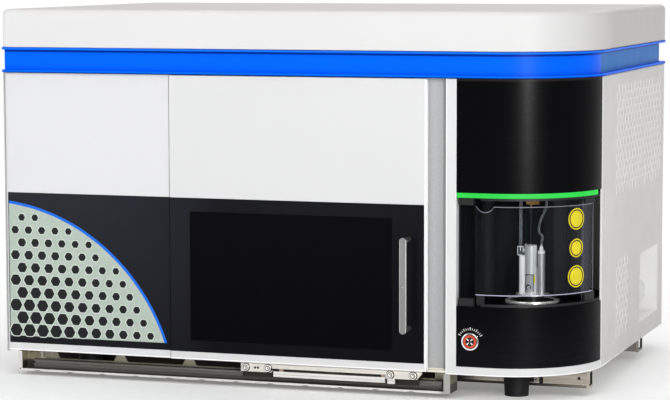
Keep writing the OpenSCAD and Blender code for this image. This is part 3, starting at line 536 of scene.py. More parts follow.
def rail_cap_mat():
    """Cream end cap, darker on the rear cap; the pocket in its middle has painted black shade inside."""
    m = NT("rail_end_cap")
    m.set(IOR=1.25)
    x, y, z = m.xyz()
    c = m.mixc(m.rng(m.noise(60, 4, 0.6), 0.35, 0.7, 0, 1), (0.54, 0.49, 0.42), (0.40, 0.36, 0.30))
    yy = m.math("MAXIMUM", m.band(y, P(0, 107.9, 0).y, P(0, 131, 0).y, 0.0002), m.band(y, P(0, 533.7, 0).y, P(0, 566.3, 0).y, 0.0002))
    c = m.mixc(m.math("MULTIPLY", m.rng(y, P(0, 300, 0).y, P(0, 400, 0).y, 0, 1), 0.55), c, (0.12, 0.105, 0.09))
    # painted shade inside the pocket
    hole = m.math("MULTIPLY", yy, m.band(z, P(0, 0, -28.8).z, P(0, 0, -5.2).z, 0.0002))
    m.color(m.mixc(hole, c, (0.006, 0.005, 0.005)))
    m.rough(m.rng(m.noise(40, 4, 0.6), 0.3, 0.7, 0.42, 0.56))
    m.bump(m.noise(300, 3, 0.6), 0.06, 0.0003, 0.0008)
    return m.m


def bracket_mat():
    m = NT("bracket_steel")
    m.set(Metallic=1.0)
    x, y, z = m.xyz()
    c, v = streaked(m, (0.62, 0.59, 0.535), (0.76, 0.73, 0.675), scale=(8, 300, 300))
    c = m.mixc(m.rng(m.noise(60, 5, 0.7), 0.52, 0.75, 0, 0.35), c, (0.45, 0.41, 0.36))
    # painted shadow ring round each screw
    d = m.dist(x, z, [(P(px, 0, 0).x, P(0, 0, -8.5).z) for px in (476.7, 519.1, 749, 791.5)])
    c = m.mixc(m.band(d, 0.0058, 0.0078, 0.0003), c, (0.030, 0.026, 0.024))
    # dark dots for two holes, painted shade
    holes = m.dist(x, z, [(P(494.2, 0, 0).x, P(0, 0, -8.8).z), (P(499.7, 0, 0).x, P(0, 0, -8.8).z)])
    c = m.mixc(m.rng(holes, 0.0019, 0.0023, 1, 0), c, (0.020, 0.018, 0.017))
    # a darker line along the top edge
    c = m.mixc(m.math("MULTIPLY", m.band(z, P(0, 0, -1.9).z, P(0, 0, -0.3).z, 0.0004), 0.7), c, (0.30, 0.28, 0.25))
    # painted shade on the saddles behind the plates
    c = m.mixc(m.rng(y, P(0, 5.0, 0).y, P(0, 5.4, 0).y, 0, 1), c, (0.035, 0.031, 0.029))
    m.color(c)
    m.rough(m.rng(v, 0.25, 0.75, 0.34, 0.48))
    m.bump(v, 0.08, 0.0002, 0.0005)
    return m.m


def screw_mat():
    m = NT("screw_zinc")
    m.set(Metallic=1.0)
    x, y, z = m.xyz()
    d = m.dist(x, z, [(P(px, 0, 0).x, P(0, 0, -8.5).z) for px in (476.7, 519.1, 749, 791.5)])
    c = m.mixc(m.rng(m.noise(260, 4, 0.6), 0.3, 0.7, 0, 1), (0.80, 0.77, 0.72), (0.92, 0.90, 0.86))
    # a dark ring round the head, and painted shade in the hex socket
    c = m.mixc(m.band(d, 0.0033, 0.0046, 0.00015), c, (0.016, 0.012, 0.010))
    c = m.mixc(m.rng(d, 0.0012, 0.0018, 1, 0), c, (0.035, 0.028, 0.024))
    m.color(c)
    m.rough(m.rng(m.noise(200, 3), 0.3, 0.7, 0.22, 0.36))
    m.bump(m.math("PINGPONG", d, 0.0012), 0.35, 0.0006, 0.0004)
    return m.m


MAT["tray"] = tray_mat()
MAT["door_rail"] = dark_rail_mat()
MAT["cross_rail"] = cross_rail_mat()
MAT["brackets"] = bracket_mat()
MAT["screws"] = screw_mat()


def strip_mat():
    """Off-white nylon strip with a painted shadow line along it, a darker brown band along its top, and worn roller
    blocks.
    """
    m = NT("slide_strip_nylon")
    m.set(IOR=1.35)
    x, y, z = m.xyz()
    c, v = streaked(m, (0.70, 0.685, 0.665), (0.82, 0.81, 0.795), scale=(4, 300, 300))
    # painted shadow line along the middle
    c = m.mixc(m.math("MULTIPLY", m.band(z, P(0, 0, -19.6).z, P(0, 0, -18.6).z, 0.0003), 0.55), c, (0.34, 0.32, 0.30))
    c = m.mixc(m.rng(z, P(0, 0, -14.1).z, P(0, 0, -13.7).z, 0, 1), c, (0.36, 0.25, 0.19))
    c = m.mixc(m.band(x, P(739, 0, 0).x, P(743.5, 0, 0).x, 0.0005), c, (0.12, 0.11, 0.10))
    c = m.mixc(m.rng(m.noise(90, 5, 0.7), 0.60, 0.78, 0, 0.4), c, (0.46, 0.43, 0.39))
    m.color(c)
    m.rough(m.rng(v, 0.25, 0.75, 0.34, 0.48))
    m.bump(v, 0.05, 0.0002, 0.0006)
    return m.m


MAT["slide_strip"] = strip_mat()
MAT["satin_steel"] = metal("satin_steel", (0.58, 0.57, 0.55), r=(0.34, 0.48), brush=(6, 500, 500), stains=0.15)
MAT["rail_steel"] = metal("rail_steel", (0.21, 0.19, 0.165), r=(0.32, 0.50), brush=(5, 400, 400), stains=0.4)
MAT["polished_steel"] = metal("polished_steel", (0.72, 0.71, 0.69), r=(0.08, 0.18), brush=(60, 60, 600), strength=0.03, var=0.03)


def satin_cylinder(name, base, metal_k=0.28, r=(0.34, 0.44), side=None):
    """Satin metal; side is (x in panel mm, from, to, gain) for a body whose flanks get painted light, paler away from
    that x.
    """
    m = NT(name)
    m.set(Metallic=metal_k, IOR=1.35)
    g = m.noise(1.0, 4, 0.6, vec=m.coords(scale=(1100, 1100, 14)))
    c = m.mixc(m.rng(g, 0.3, 0.7, 0, 1), scaled(base, 0.92), scaled(base, 1.06))
    # painted light on the flanks
    if side:
        x, y, z = m.xyz()
        d = m.math("ABSOLUTE", m.math("SUBTRACT", x, P(side[0], 0, 0).x))
        c = m.mixc(m.rng(d, side[1] / 1000.0, side[2] / 1000.0, 0, side[3]), c, (1.0, 1.0, 1.0))
    m.color(c)
    m.rough(m.rng(g, 0.25, 0.75, r[0], r[1]))
    m.bump(g, 0.04, 0.0002, 0.0004)
    return m.m


MAT["tube_steel"] = satin_cylinder("tube_holder_satin", (0.385, 0.392, 0.395), 0.22, (0.34, 0.44), (978.0, 5.5, 10.5, 0.70))
MAT["wash_steel"] = satin_cylinder("wash_cylinder_satin", (0.29, 0.297, 0.303), 0.45, (0.24, 0.34))


def dish_mat():
    """Turned ring and flange, bright; the well between them and the neck under the flange get painted black shade."""
    m = NT("station_ring_turned")
    m.set(IOR=1.35)
    x, y, z = m.xyz()
    g = m.noise(1.0, 4, 0.6, vec=m.coords(scale=(1100, 1100, 14)))
    c = m.mixc(m.rng(g, 0.3, 0.7, 0, 1), (0.79, 0.785, 0.76), (0.90, 0.895, 0.87))
    d = m.dist(x, y, [(P(981, 0, 0).x, P(0, 101, 0).y)])
    # painted shade in the well and under the flange
    well = m.math("MULTIPLY", m.rng(d, 0.0396, 0.0404, 1, 0), m.rng(z, P(0, 0, 130.6).z, P(0, 0, 130.9).z, 1, 0))
    m.color(m.mixc(well, c, (0.012, 0.012, 0.013)))
    m.l(m.rng(well, 0, 1, 0.70, 0.0), m.b.inputs["Metallic"])
    m.rough(m.rng(g, 0.25, 0.75, 0.22, 0.30))
    m.bump(g, 0.04, 0.0002, 0.0004)
    return m.m


MAT["dish"] = dish_mat()


def probe_mat():
    """Brass carriage above, dark steel needle below."""
    m = NT("probe_brass_and_steel")
    m.set(Metallic=1.0)
    x, y, z = m.xyz()
    g = m.noise(300, 4, 0.6)
    c = m.mixc(m.rng(g, 0.3, 0.7, 0, 1), (0.13, 0.072, 0.026), (0.22, 0.125, 0.048))
    c = m.mixc(m.rng(z, P(0, 0, 285.3).z, P(0, 0, 285.9).z, 1, 0), c, (0.020, 0.021, 0.026))
    m.color(c)
    m.rough(m.rng(g, 0.25, 0.75, 0.22, 0.34))
    m.bump(g, 0.04, 0.0002, 0.0004)
    return m.m


MAT["probe"] = probe_mat()


def bezel_mat():
    """Chrome ring, with painted shade in the turned groove round its face and painted dark reflections in two sectors.
    """
    m = NT("bezel_chrome")
    m.set(Metallic=1.0)
    x, y, z = m.xyz()
    c0 = P(895.7, 0, 57.8)
    d = m.dist(x, z, [(c0.x, c0.z)])
    c = m.mixc(m.rng(m.noise(400, 3), 0.3, 0.7, 0, 1), (0.80, 0.79, 0.78), (0.90, 0.895, 0.885))
    # painted shade in the turned groove
    c = m.mixc(m.band(d, 0.0119, 0.0129, 0.0002), c, (0.09, 0.085, 0.085))
    ang = m.math("ARCTAN2", m.math("SUBTRACT", z, c0.z), m.math("SUBTRACT", x, c0.x))
    # painted dark reflections in two sectors of the chrome
    shade = m.math("MAXIMUM", m.band(ang, 1.25, 2.0, 0.15), m.band(ang, -0.25, 0.45, 0.15))
    c = m.mixc(m.math("MULTIPLY", shade, 0.75), c, (0.10, 0.09, 0.09))
    m.color(c)
    m.rough(m.rng(m.noise(120, 3), 0.3, 0.7, 0.14, 0.24))
    m.bump(m.math("PINGPONG", d, 0.0009), 0.4, 0.0006, 0.0006)
    return m.m


MAT["bezel"] = bezel_mat()
MAT["rubber"] = plastic("foot_rubber", (0.0042, 0.0042, 0.0050), r=(0.50, 0.68), grain=0.25, gscale=1200, var=0.2, ior=1.25)
MAT["dark_liner"] = plastic("dark_liner", (0.006, 0.006, 0.008), r=(0.40, 0.52), grain=0.0, gscale=900, var=0.15, ior=1.25)
MAT["black_plastic"] = plastic("black_plastic", (0.0075, 0.0075, 0.0085), r=(0.45, 0.58), grain=0.06, gscale=1500, var=0.2, ior=1.3)
MAT["white_plastic"] = plastic("white_plastic", (0.86, 0.855, 0.85), r=(0.38, 0.48), grain=0.08, gscale=1500, var=0.015, ior=1.35)


def painted_glow_plastic(name, base, glow):
    """White moulding with a faint emission: painted light that brightens it where it lies in shade."""
    m = NT(name)
    m.set(IOR=1.3, Emission_Color=(1.0, 0.995, 0.99), Emission_Strength=glow)
    m.color(m.mixc(m.rng(m.noise(9, 3, 0.5), 0.3, 0.7, 0, 1), scaled(base, 0.985), scaled(base, 1.01)))
    m.rough(m.rng(m.noise(30, 4, 0.6), 0.3, 0.7, 0.42, 0.52))
    m.bump(m.noise(1200, 2, 0.6), 0.06, 0.0003, 0.0008)
    return m.m


# painted light: the recess walls, the coupling cap and the vent screens glow faintly
MAT["recess_white"] = painted_glow_plastic("recess_white_moulding", (0.86, 0.855, 0.85), 0.03)
MAT["cap_white"] = painted_glow_plastic("cap_white_moulding", (0.74, 0.74, 0.74), 0.03)
MAT["grey_plastic"] = plastic("grey_plastic", (0.16, 0.17, 0.18), r=(0.40, 0.52), grain=0.25, var=0.1)
MAT["screen_white"] = painted_glow_plastic("screen_white_weave", (0.92, 0.91, 0.905), 0.16)
MAT["anodised_black"] = metal("anodised_black", (0.045, 0.045, 0.05), r=(0.42, 0.56), brush=(500, 500, 500), strength=0.10, var=0.15)
MAT["anodised_blue"] = metal("anodised_blue", (0.07, 0.14, 0.30), r=(0.38, 0.50), brush=(500, 500, 500), strength=0.10, var=0.12)
MAT["brass"] = metal("brass", (0.72, 0.50, 0.22), r=(0.16, 0.30), brush=(300, 300, 300), strength=0.05, var=0.08, stains=0.2)


def glass_mat():
    """Back-printed door glass: darkest in the viewing window, a little lighter in the printed border, with a painted
    reflection that lightens it towards the upper left.
    """
    m = NT("door_glass_print")
    m.set(IOR=1.11)
    x, y, z = m.xyz()
    a, b = P(370, 0, 35), P(753, 0, 270)
    win = m.math("MULTIPLY", m.band(x, a.x, b.x), m.band(z, a.z, b.z))
    # painted reflection: the printed border lightens towards the upper left
    tone = m.rng(m.noise(2.2, 2, 0.5), 0.3, 0.7, 0.85, 1.15)
    up = m.rng(z, P(0, 0, 14).z, P(0, 0, 295).z, 0.72, 1.30)
    left = m.mixc(m.rng(x, P(0, 0, 0).x, P(360, 0, 0).x, 0.0, 1.0), (0.0190, 0.0190, 0.0250), (0.0130, 0.0134, 0.0185))
    right = m.mixc(m.rng(x, P(420, 0, 0).x, P(811, 0, 0).x, 0.0, 1.0), (0.0072, 0.0074, 0.0104), (0.0058, 0.0058, 0.0080))
    frit = m.mixc(m.rng(x, P(360, 0, 0).x, P(420, 0, 0).x, 0.0, 1.0), left, right)
    sc = m.n("ShaderNodeVectorMath", operation="SCALE")
    m.l(frit, sc.inputs[0])
    m.l(m.math("MULTIPLY", up, tone), sc.inputs["Scale"])
    frit = sc.outputs[0]
    dark = m.mixc(tone, (0.0006, 0.0006, 0.0011), (0.0012, 0.0011, 0.0017))
    m.color(m.mixc(win, frit, dark))
    m.rough(m.rng(m.noise(14, 4, 0.6), 0.3, 0.7, 0.05, 0.09))
    m.bump(m.noise(5.0, 2, 0.5), 0.02, 0.0006, 0.0004)
    return m.m


def clear_mat(name, tint=(0.97, 0.98, 0.99), haze=0.002, ior=1.35, r=0.05, body=(0.55, 0.58, 0.66), gain=0.10):
    """Clear acrylic: what is behind shows unbent, with a gloss that grows at grazing angles and a trace of haze."""
    m = NT(name)
    m.set(IOR=1.45)
    m.color(m.mixc(m.rng(m.noise(9, 3, 0.5), 0.3, 0.7, 0, 1), scaled(body, 0.94), body))
    m.rough(m.rng(m.noise(20, 4, 0.6), 0.3, 0.7, r, r + 0.05))
    tr = m.n("ShaderNodeBsdfTransparent")
    tr.inputs[0].default_value = (*tint, 1)
    fr = m.n("ShaderNodeFresnel")
    fr.inputs["IOR"].default_value = ior
    mx = m.n("ShaderNodeMixShader")
    m.l(m.math("ADD", m.math("MINIMUM", m.math("MULTIPLY", fr.outputs[0], gain), 0.030), haze, clamp=True), mx.inputs[0])
    m.l(tr.outputs[0], mx.inputs[1])
    m.l(m.b.outputs[0], mx.inputs[2])
    m.l(mx.outputs[0], m.out.inputs["Surface"])
    return m.m


def glow_mat():
    """Lit light guide, a little uneven along its length."""
    m = NT("light_strip_glow")
    m.set(IOR=1.2, Roughness=0.5, Emission_Strength=1.0)
    v = m.noise(26, 3, 0.5)
    m.color(m.mixc(m.rng(v, 0.3, 0.7, 0, 1), (0.004, 0.020, 0.006), (0.006, 0.030, 0.009)))
    c = m.mixc(m.rng(v, 0.3, 0.7, 0, 1), (0.018, 0.66, 0.058), (0.030, 0.76, 0.088))
    m.l(c, m.b.inputs["Emission Color"])
    m.bump(m.noise(300, 2), 0.03, 0.0002)
    return m.m


def pcb_mat():
    m = NT("board_green")
    m.set(IOR=1.5)
    v = m.n("ShaderNodeTexVoronoi", feature="DISTANCE_TO_EDGE")
    v.inputs["Scale"].default_value = 160
    m.l(m.coords(), v.inputs["Vector"])
    tr = m.rng(v.outputs["Distance"], 0.02, 0.06, 1, 0)
    m.color(m.mixc(tr, (0.008, 0.075, 0.030), (0.020, 0.16, 0.065)))
    m.rough(m.rng(m.noise(60, 3), 0.3, 0.7, 0.30, 0.45))
    m.bump(tr, 0.2, 0.0001)
    return m.m


def button_mat():
    """Red ring round a dark centre."""
    m = NT("stop_button_red")
    x, y, z = m.xyz()
    c = P(895.7, 0, 57.8)
    d = m.dist(x, z, [(c.x, c.z)])
    red = m.mixc(m.rng(m.noise(120, 3), 0.3, 0.7, 0, 1), (0.62, 0.060, 0.018), (0.74, 0.095, 0.035))
    red = m.mixc(m.rng(d, 0.0106, 0.0116, 0, 0.75), red, (0.10, 0.012, 0.008))
    m.color(m.mixc(m.rng(d, 0.0076, 0.0080, 1, 0), red, (0.010, 0.011, 0.014)))
    m.rough(m.rng(m.noise(60, 3), 0.3, 0.7, 0.25, 0.36))
    m.bump(m.noise(800, 2), 0.05, 0.0002, 0.0004)
    m.set(IOR=1.3)
    return m.m


MAT["black_glass"] = glass_mat()
MAT["clear_plastic"] = clear_mat("clear_acrylic")
MAT["rail_cap"] = rail_cap_mat()
MAT["green_light"] = glow_mat()
MAT["pcb_green"] = pcb_mat()
MAT["red_button"] = button_mat()

slot_of = {s["node"]: s["material_slot"] for s in frame["record"]["subparts"]}
override = {"divider_strip": "divider", "door_handle": "handle", "tube_holder": "tube_steel", "wash_cylinder": "wash_steel",
            "door_tray": "tray", "door_rail": "door_rail", "front_cross_rail": "cross_rail", "door_brackets": "brackets",
            "bracket_screws": "screws", "door_slide_strip": "slide_strip", "bay_liner": "bay_liner", "station_ring": "dish",
            "sample_probe": "probe", "recess_liner": "recess_white", "recess_couplings": "cap_white", "stop_button_bezel": "bezel", "right_side_panel": "side_right", "door_panel": "door_white",
            "left_front_panel": "front_white", "column_frame": "frame_white", "rubber_feet": "rubber", "vent_screens": "screen_white", "rail_end_caps": "rail_cap"}


def assign(o, mat):
    if len(o.material_slots) == 0:
        o.data.materials.append(mat)
    for s in o.material_slots:
        s.material = mat


for name, o in nodes.items():
    assign(o, MAT[override.get(name, slot_of[name])])


# ------------------------------------------------------------------ mesh helpers
def obj(name, bm, mat, body, smooth=False):
    me = bpy.data.meshes.new(name)
    bm.normal_update()
    bm.to_mesh(me)
    bm.free()
    if smooth:
        for p in me.polygons:
            p.use_smooth = True
    o = bpy.data.objects.new(name, me)
    scene.collection.objects.link(o)
    me.materials.append(MAT[mat] if isinstance(mat, str) else mat)
    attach(o, body)
    return o


def prism(bm, pts, y0, y1):
    """Closed prism over the polygon pts (x, z in panel mm), from y0 to y1."""
    a = [bm.verts.new(P(x, y0, z)) for x, z in pts]
    b = [bm.verts.new(P(x, y1, z)) for x, z in pts]
    fs = [bm.faces.new(a), bm.faces.new(list(reversed(b)))]
    n = len(pts)
    for i in range(n):
        j = (i + 1) % n
        fs.append(bm.faces.new((a[j], a[i], b[i], b[j])))
    return fs


def fix_normals(bm):
    bmesh.ops.recalc_face_normals(bm, faces=bm.faces[:])


def ngon(cx, cz, r, n, rot=0.0):
    return [(cx + r * math.cos(rot + 2 * math.pi * i / n), cz + r * math.sin(rot + 2 * math.pi * i / n)) for i in range(n)]


def rounded_hex(cx, cz, r, k=0.22, seg=4):
    """Hexagon with rounded corners."""
    c = ngon(cx, cz, r, 6, 0.0)
    out = []
    for i in range(6):
        p0, p1, p2 = Vector(c[i - 1]), Vector(c[i]), Vector(c[(i + 1) % 6])
        a, b = p1.lerp(p0, k), p1.lerp(p2, k)
        for s in range(seg + 1):
            t = s / seg
            q = (1 - t) ** 2 * a + 2 * t * (1 - t) * p1 + t * t * b
            out.append((q.x, q.y))
    return out


# ------------------------------------------------------------------ generic print on the glass
def print_mat(name, c, r=0.25):
    m = NT(name)
    m.set(IOR=1.3)
    m.color(m.mixc(m.rng(m.noise(160, 3, 0.6), 0.3, 0.7, 0, 1), scaled(c, 0.93), scaled(c, 1.05)))
    m.rough(m.rng(m.noise(30, 3), 0.3, 0.7, r, r + 0.08))
    m.bump(m.noise(500, 2), 0.03, 0.0002)
    return m.m


M_SAGE = print_mat("print_sage", (0.445, 0.520, 0.455))
M_PALE = print_mat("print_pale", (0.640, 0.710, 0.650))
M_BLUE = print_mat("print_blue", (0.004, 0.150, 0.780))
M_DARK = print_mat("print_dark", (0.0060, 0.0062, 0.0090), 0.10)

AC, AR = (-34.0, -96.0), 372.0


def arc_pts(r, x0, z0, n=72):
    a0 = math.acos((x0 - AC[0]) / r)
    a1 = math.asin((z0 - AC[1]) / r)
    return [(AC[0] + r * math.cos(a0 + (a1 - a0) * i / n), AC[1] + r * math.sin(a0 + (a1 - a0) * i / n)) for i in range(n + 1)]


def print_layer(kind):
    """Geometry of one printed layer, before it is cut at the seam between panel and door."""
    bm = bmesh.new()
    x0, z0 = 7.5, 27.0
    if kind == "sage":
        pts = arc_pts(AR, x0, z0) + [(x0, z0)]
        prism(bm, pts, -0.10, -0.02)
    elif kind == "line":
        o, i = arc_pts(AR + 5.0, x0, z0), arc_pts(AR, x0, z0)
        n = len(o)
        for k in range(n - 1):
            prism(bm, [o[k], o[k + 1], i[k + 1], i[k]], -0.12, -0.02)
    else:
        pitch = 27.0
        row = 0
        z = z0 + 11.0
        while z < 290:
            x = x0 + 12.0 + (pitch * 0.5 if row % 2 else 0)
            while x < 360:
                d = math.hypot(x - AC[0], z - AC[1])
                u = max(0.0, min(1.0, (AR - d) / 190.0))
                r = 6.6 + 6.4 * u
                if AR - d > r + 3.0:
                    if kind == "pale":
                        prism(bm, rounded_hex(x, z, r + 1.7), -0.14, -0.05)
                    else:
                        prism(bm, rounded_hex(x, z, r), -0.18, -0.05)
                x += pitch
            z += pitch * 0.866
            row += 1
    fix_normals(bm)
    return bm


def cut(bm, x, keep_left):
    co = P(x, 0, 0)
    geom = bm.verts[:] + bm.edges[:] + bm.faces[:]
    bmesh.ops.bisect_plane(bm, geom=geom, plane_co=co, plane_no=(1, 0, 0), clear_outer=keep_left, clear_inner=not keep_left)
    edges = [e for e in bm.edges if e.is_boundary]
    if edges:
        bmesh.ops.holes_fill(bm, edges=edges)


for kind, mt in (("sage", M_SAGE), ("line", M_BLUE), ("pale", M_PALE), ("cells", M_DARK)):
    bl = print_layer(kind)
    cut(bl, 328.9, True)
    bmesh.ops.translate(bl, vec=(0, 0.004, 0), verts=bl.verts[:])
    obj("print_%s_panel" % kind, bl, mt, "chassis")
    br = print_layer(kind)
    cut(br, 331.7, False)
    if len(br.verts) > 0:
        obj("print_%s_door" % kind, br, mt, "door")
    else:
        br.free()

# ------------------------------------------------------------------ plain discs on the shield
CX, CY, RR = 929.0, 165.0, 165.0


def on_shield(a, z, off=0.0):
    r = 160.8 + off
    return P(CX + r * math.cos(a), CY + r * math.sin(a), z)


def shield_disc(bm, a0, z0, r, off0, off1, r_in=0.0, n=48):
    """Disc or ring bent round the shield; a0 in radians round the column axis."""
    rings = []
    for off in (off1, off0):
        for rad in ((r,) if r_in == 0 else (r, r_in)):
            ring = []
            for i in range(n):
                t = 2 * math.pi * i / n
                ring.append(bm.verts.new(on_shield(a0 + rad * math.cos(t) / 160.8, z0 + rad * math.sin(t), off)))
            rings.append(ring)
    if r_in == 0:
        top, bot = rings
        bm.faces.new(top)
        bm.faces.new(list(reversed(bot)))
        for i in range(n):
            j = (i + 1) % n
            bm.faces.new((top[j], top[i], bot[i], bot[j]))
    else:
        to, ti, bo, bi = rings
        for i in range(n):
            j = (i + 1) % n
            bm.faces.new((to[i], to[j], ti[j], ti[i]))
            bm.faces.new((bo[j], bo[i], bi[i], bi[j]))
            bm.faces.new((to[j], to[i], bo[i], bo[j]))
            bm.faces.new((ti[i], ti[j], bi[j], bi[i]))


M_YELLOW = print_mat("disc_yellow", (0.80, 0.66, 0.012), 0.30)
M_BLACKP = print_mat("disc_black", (0.008, 0.008, 0.009), 0.30)
for k, (zc, r) in enumerate(((270.5, 19.0), (219.5, 16.5), (169.5, 19.5))):
    a = math.radians(-32.0)
    bm = bmesh.new()
    shield_disc(bm, a, zc, r, 0.05, 0.25)
    fix_normals(bm)
    obj("shield_disc_%d" % (k + 1), bm, M_YELLOW, "shield")
    bm = bmesh.new()
    shield_disc(bm, a, zc, r - 2.2, 0.24, 0.34, r - 4.4)
    fix_normals(bm)
    obj("shield_disc_ring_%d" % (k + 1), bm, M_BLACKP, "shield")

# ------------------------------------------------------------------ edges of the clear shield, thin strips with painted highlights
M_EDGE = print_mat("shield_edge_pale_painted_highlight", (0.20, 0.20, 0.24), 0.20)
M_EDGE2 = print_mat("shield_edge_bright_painted_highlight", (0.46, 0.46, 0.60), 0.20)
SZ0, SZ1 = 139.0, 295.0


def strip_sweep(bm, pts, ro, ri, dz):
    """Thin closed strip along pts, which are (angle, upper z) round the column axis."""
    rings = []
    for a, z in pts:
        q = []
        for r, zz in ((ro, z), (ri, z), (ri, z - dz), (ro, z - dz)):
            q.append(bm.verts.new(P(CX + r * math.cos(a), CY + r * math.sin(a), zz)))
        rings.append(q)
    for k in range(len(rings) - 1):
        a, b = rings[k], rings[k + 1]
        for i in range(4):
            j = (i + 1) % 4
            bm.faces.new((a[i], a[j], b[j], b[i]))
    bm.faces.new(rings[0])
    bm.faces.new(list(reversed(rings[-1])))
    fix_normals(bm)


def top_z(a):
    dx = (CX + 160.8 * math.cos(a)) - (CX - 8.5)
    if abs(dx) >= 15.81:
        return SZ1
    return min(SZ1, SZ1 + 7.5 - math.sqrt(17.5 ** 2 - dx * dx))


A0, A1 = math.radians(-99.2), math.radians(-15.8)
bm = bmesh.new()
strip_sweep(bm, [(A0 + (A1 - A0) * i / 220, top_z(A0 + (A1 - A0) * i / 220)) for i in range(221)], 161.05, 160.85, 1.3)
obj("shield_top_edge", bm, M_EDGE, "shield")
bm = bmesh.new()
strip_sweep(bm, [(A0 + (A1 - A0) * i / 120, SZ0 + 1.6) for i in range(121)], 161.05, 160.85, 1.5)
obj("shield_bottom_edge", bm, M_EDGE2, "shield")
bm = bmesh.new()
strip_sweep(bm, [(math.radians(-15.5 + 0.45 * i / 3), SZ1 - 0.2) for i in range(4)], 161.65, 161.45, SZ1 - SZ0 - 0.6)
obj("shield_end_edge", bm, M_EDGE, "shield")

# ------------------------------------------------------------------ cross on the stop button, ticks round it
BX, BZ = 895.7, 57.8
M_WHITE = print_mat("mark_white", (0.86, 0.86, 0.86), 0.35)
bm = bmesh.new()
for q in range(4):
    a = math.radians(45 + 90 * q)
    ca, sa = math.cos(a), math.sin(a)
    w0, w1 = 0.55, 1.25
    pts = [(2.0, -w0), (7.0, -w1), (7.3, 0.0), (7.0, w1), (2.0, w0)]
    prism(bm, [(BX + u * ca - v * sa, BZ + u * sa + v * ca) for u, v in pts], -4.18, -3.98)
fix_normals(bm)
obj("stop_button_cross", bm, M_WHITE, "stop_button")
bm = bmesh.new()
for q in range(13):
    a = math.radians(30 + 10 * q)
    ca, sa = math.cos(a), math.sin(a)
    r0, r1, w = (20.2, 23.8, 0.42) if q % 3 else (20.2, 25.0, 0.62)
    prism(bm, [(BX + u * ca - v * sa, BZ + u * sa + v * ca) for u, v in ((r0, -w), (r1, -w), (r1, w), (r0, w))], -0.12, 0.02)
fix_normals(bm)
obj("stop_button_ticks", bm, M_WHITE, "chassis")

# ------------------------------------------------------------------ tubing and clamp of the sample station
SX, SY, BZ0, BZ1 = 978.0, 101.0, 119.0, 309.6


def smooth_path(pts, n):
    """Catmull-Rom points through pts."""
    out = []
    for i in range(len(pts) - 1):
        p0 = Vector(pts[max(i - 1, 0)])
        p1, p2 = Vector(pts[i]), Vector(pts[i + 1])
        p3 = Vector(pts[min(i + 2, len(pts) - 1)])
        for k in range(n):
            t = k / n
            out.append(0.5 * ((2 * p1) + (p2 - p0) * t + (2 * p0 - 5 * p1 + 4 * p2 - p3) * t * t + (3 * p1 - p0 - 3 * p2 + p3) * t ** 3))
    out.append(Vector(pts[-1]))
    return out


def tube_mesh(bm, pts, r, seg=20, r_in=None):
    """Round tube along pts (panel mm); with r_in it is a hollow tube with closed ends."""
    rings_o, rings_i = [], []
    up = Vector((0.3, 1.0, 0.1)).normalized()
    for i, p in enumerate(pts):
        t = (pts[min(i + 1, len(pts) - 1)] - pts[max(i - 1, 0)]).normalized()
        side = t.cross(up).normalized()
        up = side.cross(t).normalized()
        for rings, rr in ((rings_o, r), (rings_i, r_in)):
            if rr is None:
                continue
            rings.append([bm.verts.new(P(*(p + side * (rr * math.cos(2 * math.pi * k / seg)) + up * (rr * math.sin(2 * math.pi * k / seg))))) for k in range(seg)])
    for rings in (rings_o, rings_i):
        for a, b in zip(rings, rings[1:]):
            for k in range(seg):
                j = (k + 1) % seg
                bm.faces.new((a[k], a[j], b[j], b[k]))
    if r_in is None:
        bm.faces.new(rings_o[0])
        bm.faces.new(rings_o[-1])
    else:
        for e in (0, -1):
            for k in range(seg):
                j = (k + 1) % seg
                bm.faces.new((rings_o[e][k], rings_o[e][j], rings_i[e][j], rings_i[e][k]))
    fix_normals(bm)


def tubing_mat():
    """Milky clear hose: bright along its sides, darker down the middle, as a liquid-filled tube looks."""
    m = NT("hose_clear")
    m.set(IOR=1.4)
    m.color(m.mixc(m.rng(m.noise(40, 3, 0.5), 0.3, 0.7, 0, 1), (0.40, 0.43, 0.47), (0.52, 0.55, 0.59)))
    m.rough(m.rng(m.noise(20, 4, 0.6), 0.3, 0.7, 0.10, 0.18))
    tr = m.n("ShaderNodeBsdfTransparent")
    tr.inputs[0].default_value = (0.92, 0.95, 0.98, 1)
    lw = m.n("ShaderNodeLayerWeight")
    lw.inputs["Blend"].default_value = 0.42
    mx = m.n("ShaderNodeMixShader")
    m.l(m.rng(lw.outputs["Facing"], 0.12, 0.85, 0.16, 0.80), mx.inputs[0])
    m.l(tr.outputs[0], mx.inputs[1])
    m.l(m.b.outputs[0], mx.inputs[2])
    m.l(mx.outputs[0], m.out.inputs["Surface"])
    return m.m


M_HOSE = tubing_mat()
M_CLIP = print_mat("clip_white", (0.72, 0.73, 0.74), 0.30)
wash = smooth_path([(SX + 19.6, SY, BZ0 + 103.0), (SX + 19.6, SY + 4.5, BZ0 + 109.5), (SX + 18.4, SY + 12.0, BZ0 + 115.5), (SX + 11, SY + 15.5, BZ0 + 123),
                    (SX + 13, SY + 16, BZ0 + 141), (1001, SY + 16, BZ0 + 164), (1003, SY + 16, BZ0 + 180), (1003, SY + 16, BZ1 + 11.5)], 8)
bm = bmesh.new()
tube_mesh(bm, wash, 1.9, 18)
w_hose = obj("wash_hose", bm, M_HOSE, "chassis", smooth=True)
left = [Vector((SX - 18.2, SY, z)) for z in (BZ0 + 81.7, BZ0 + 90, BZ0 + 110, BZ0 + 140, BZ0 + 170, BZ1 + 11.5)]
bm = bmesh.new()
tube_mesh(bm, left, 2.65, 24)
l_hose = obj("sheath_hose", bm, M_HOSE, "chassis", smooth=True)


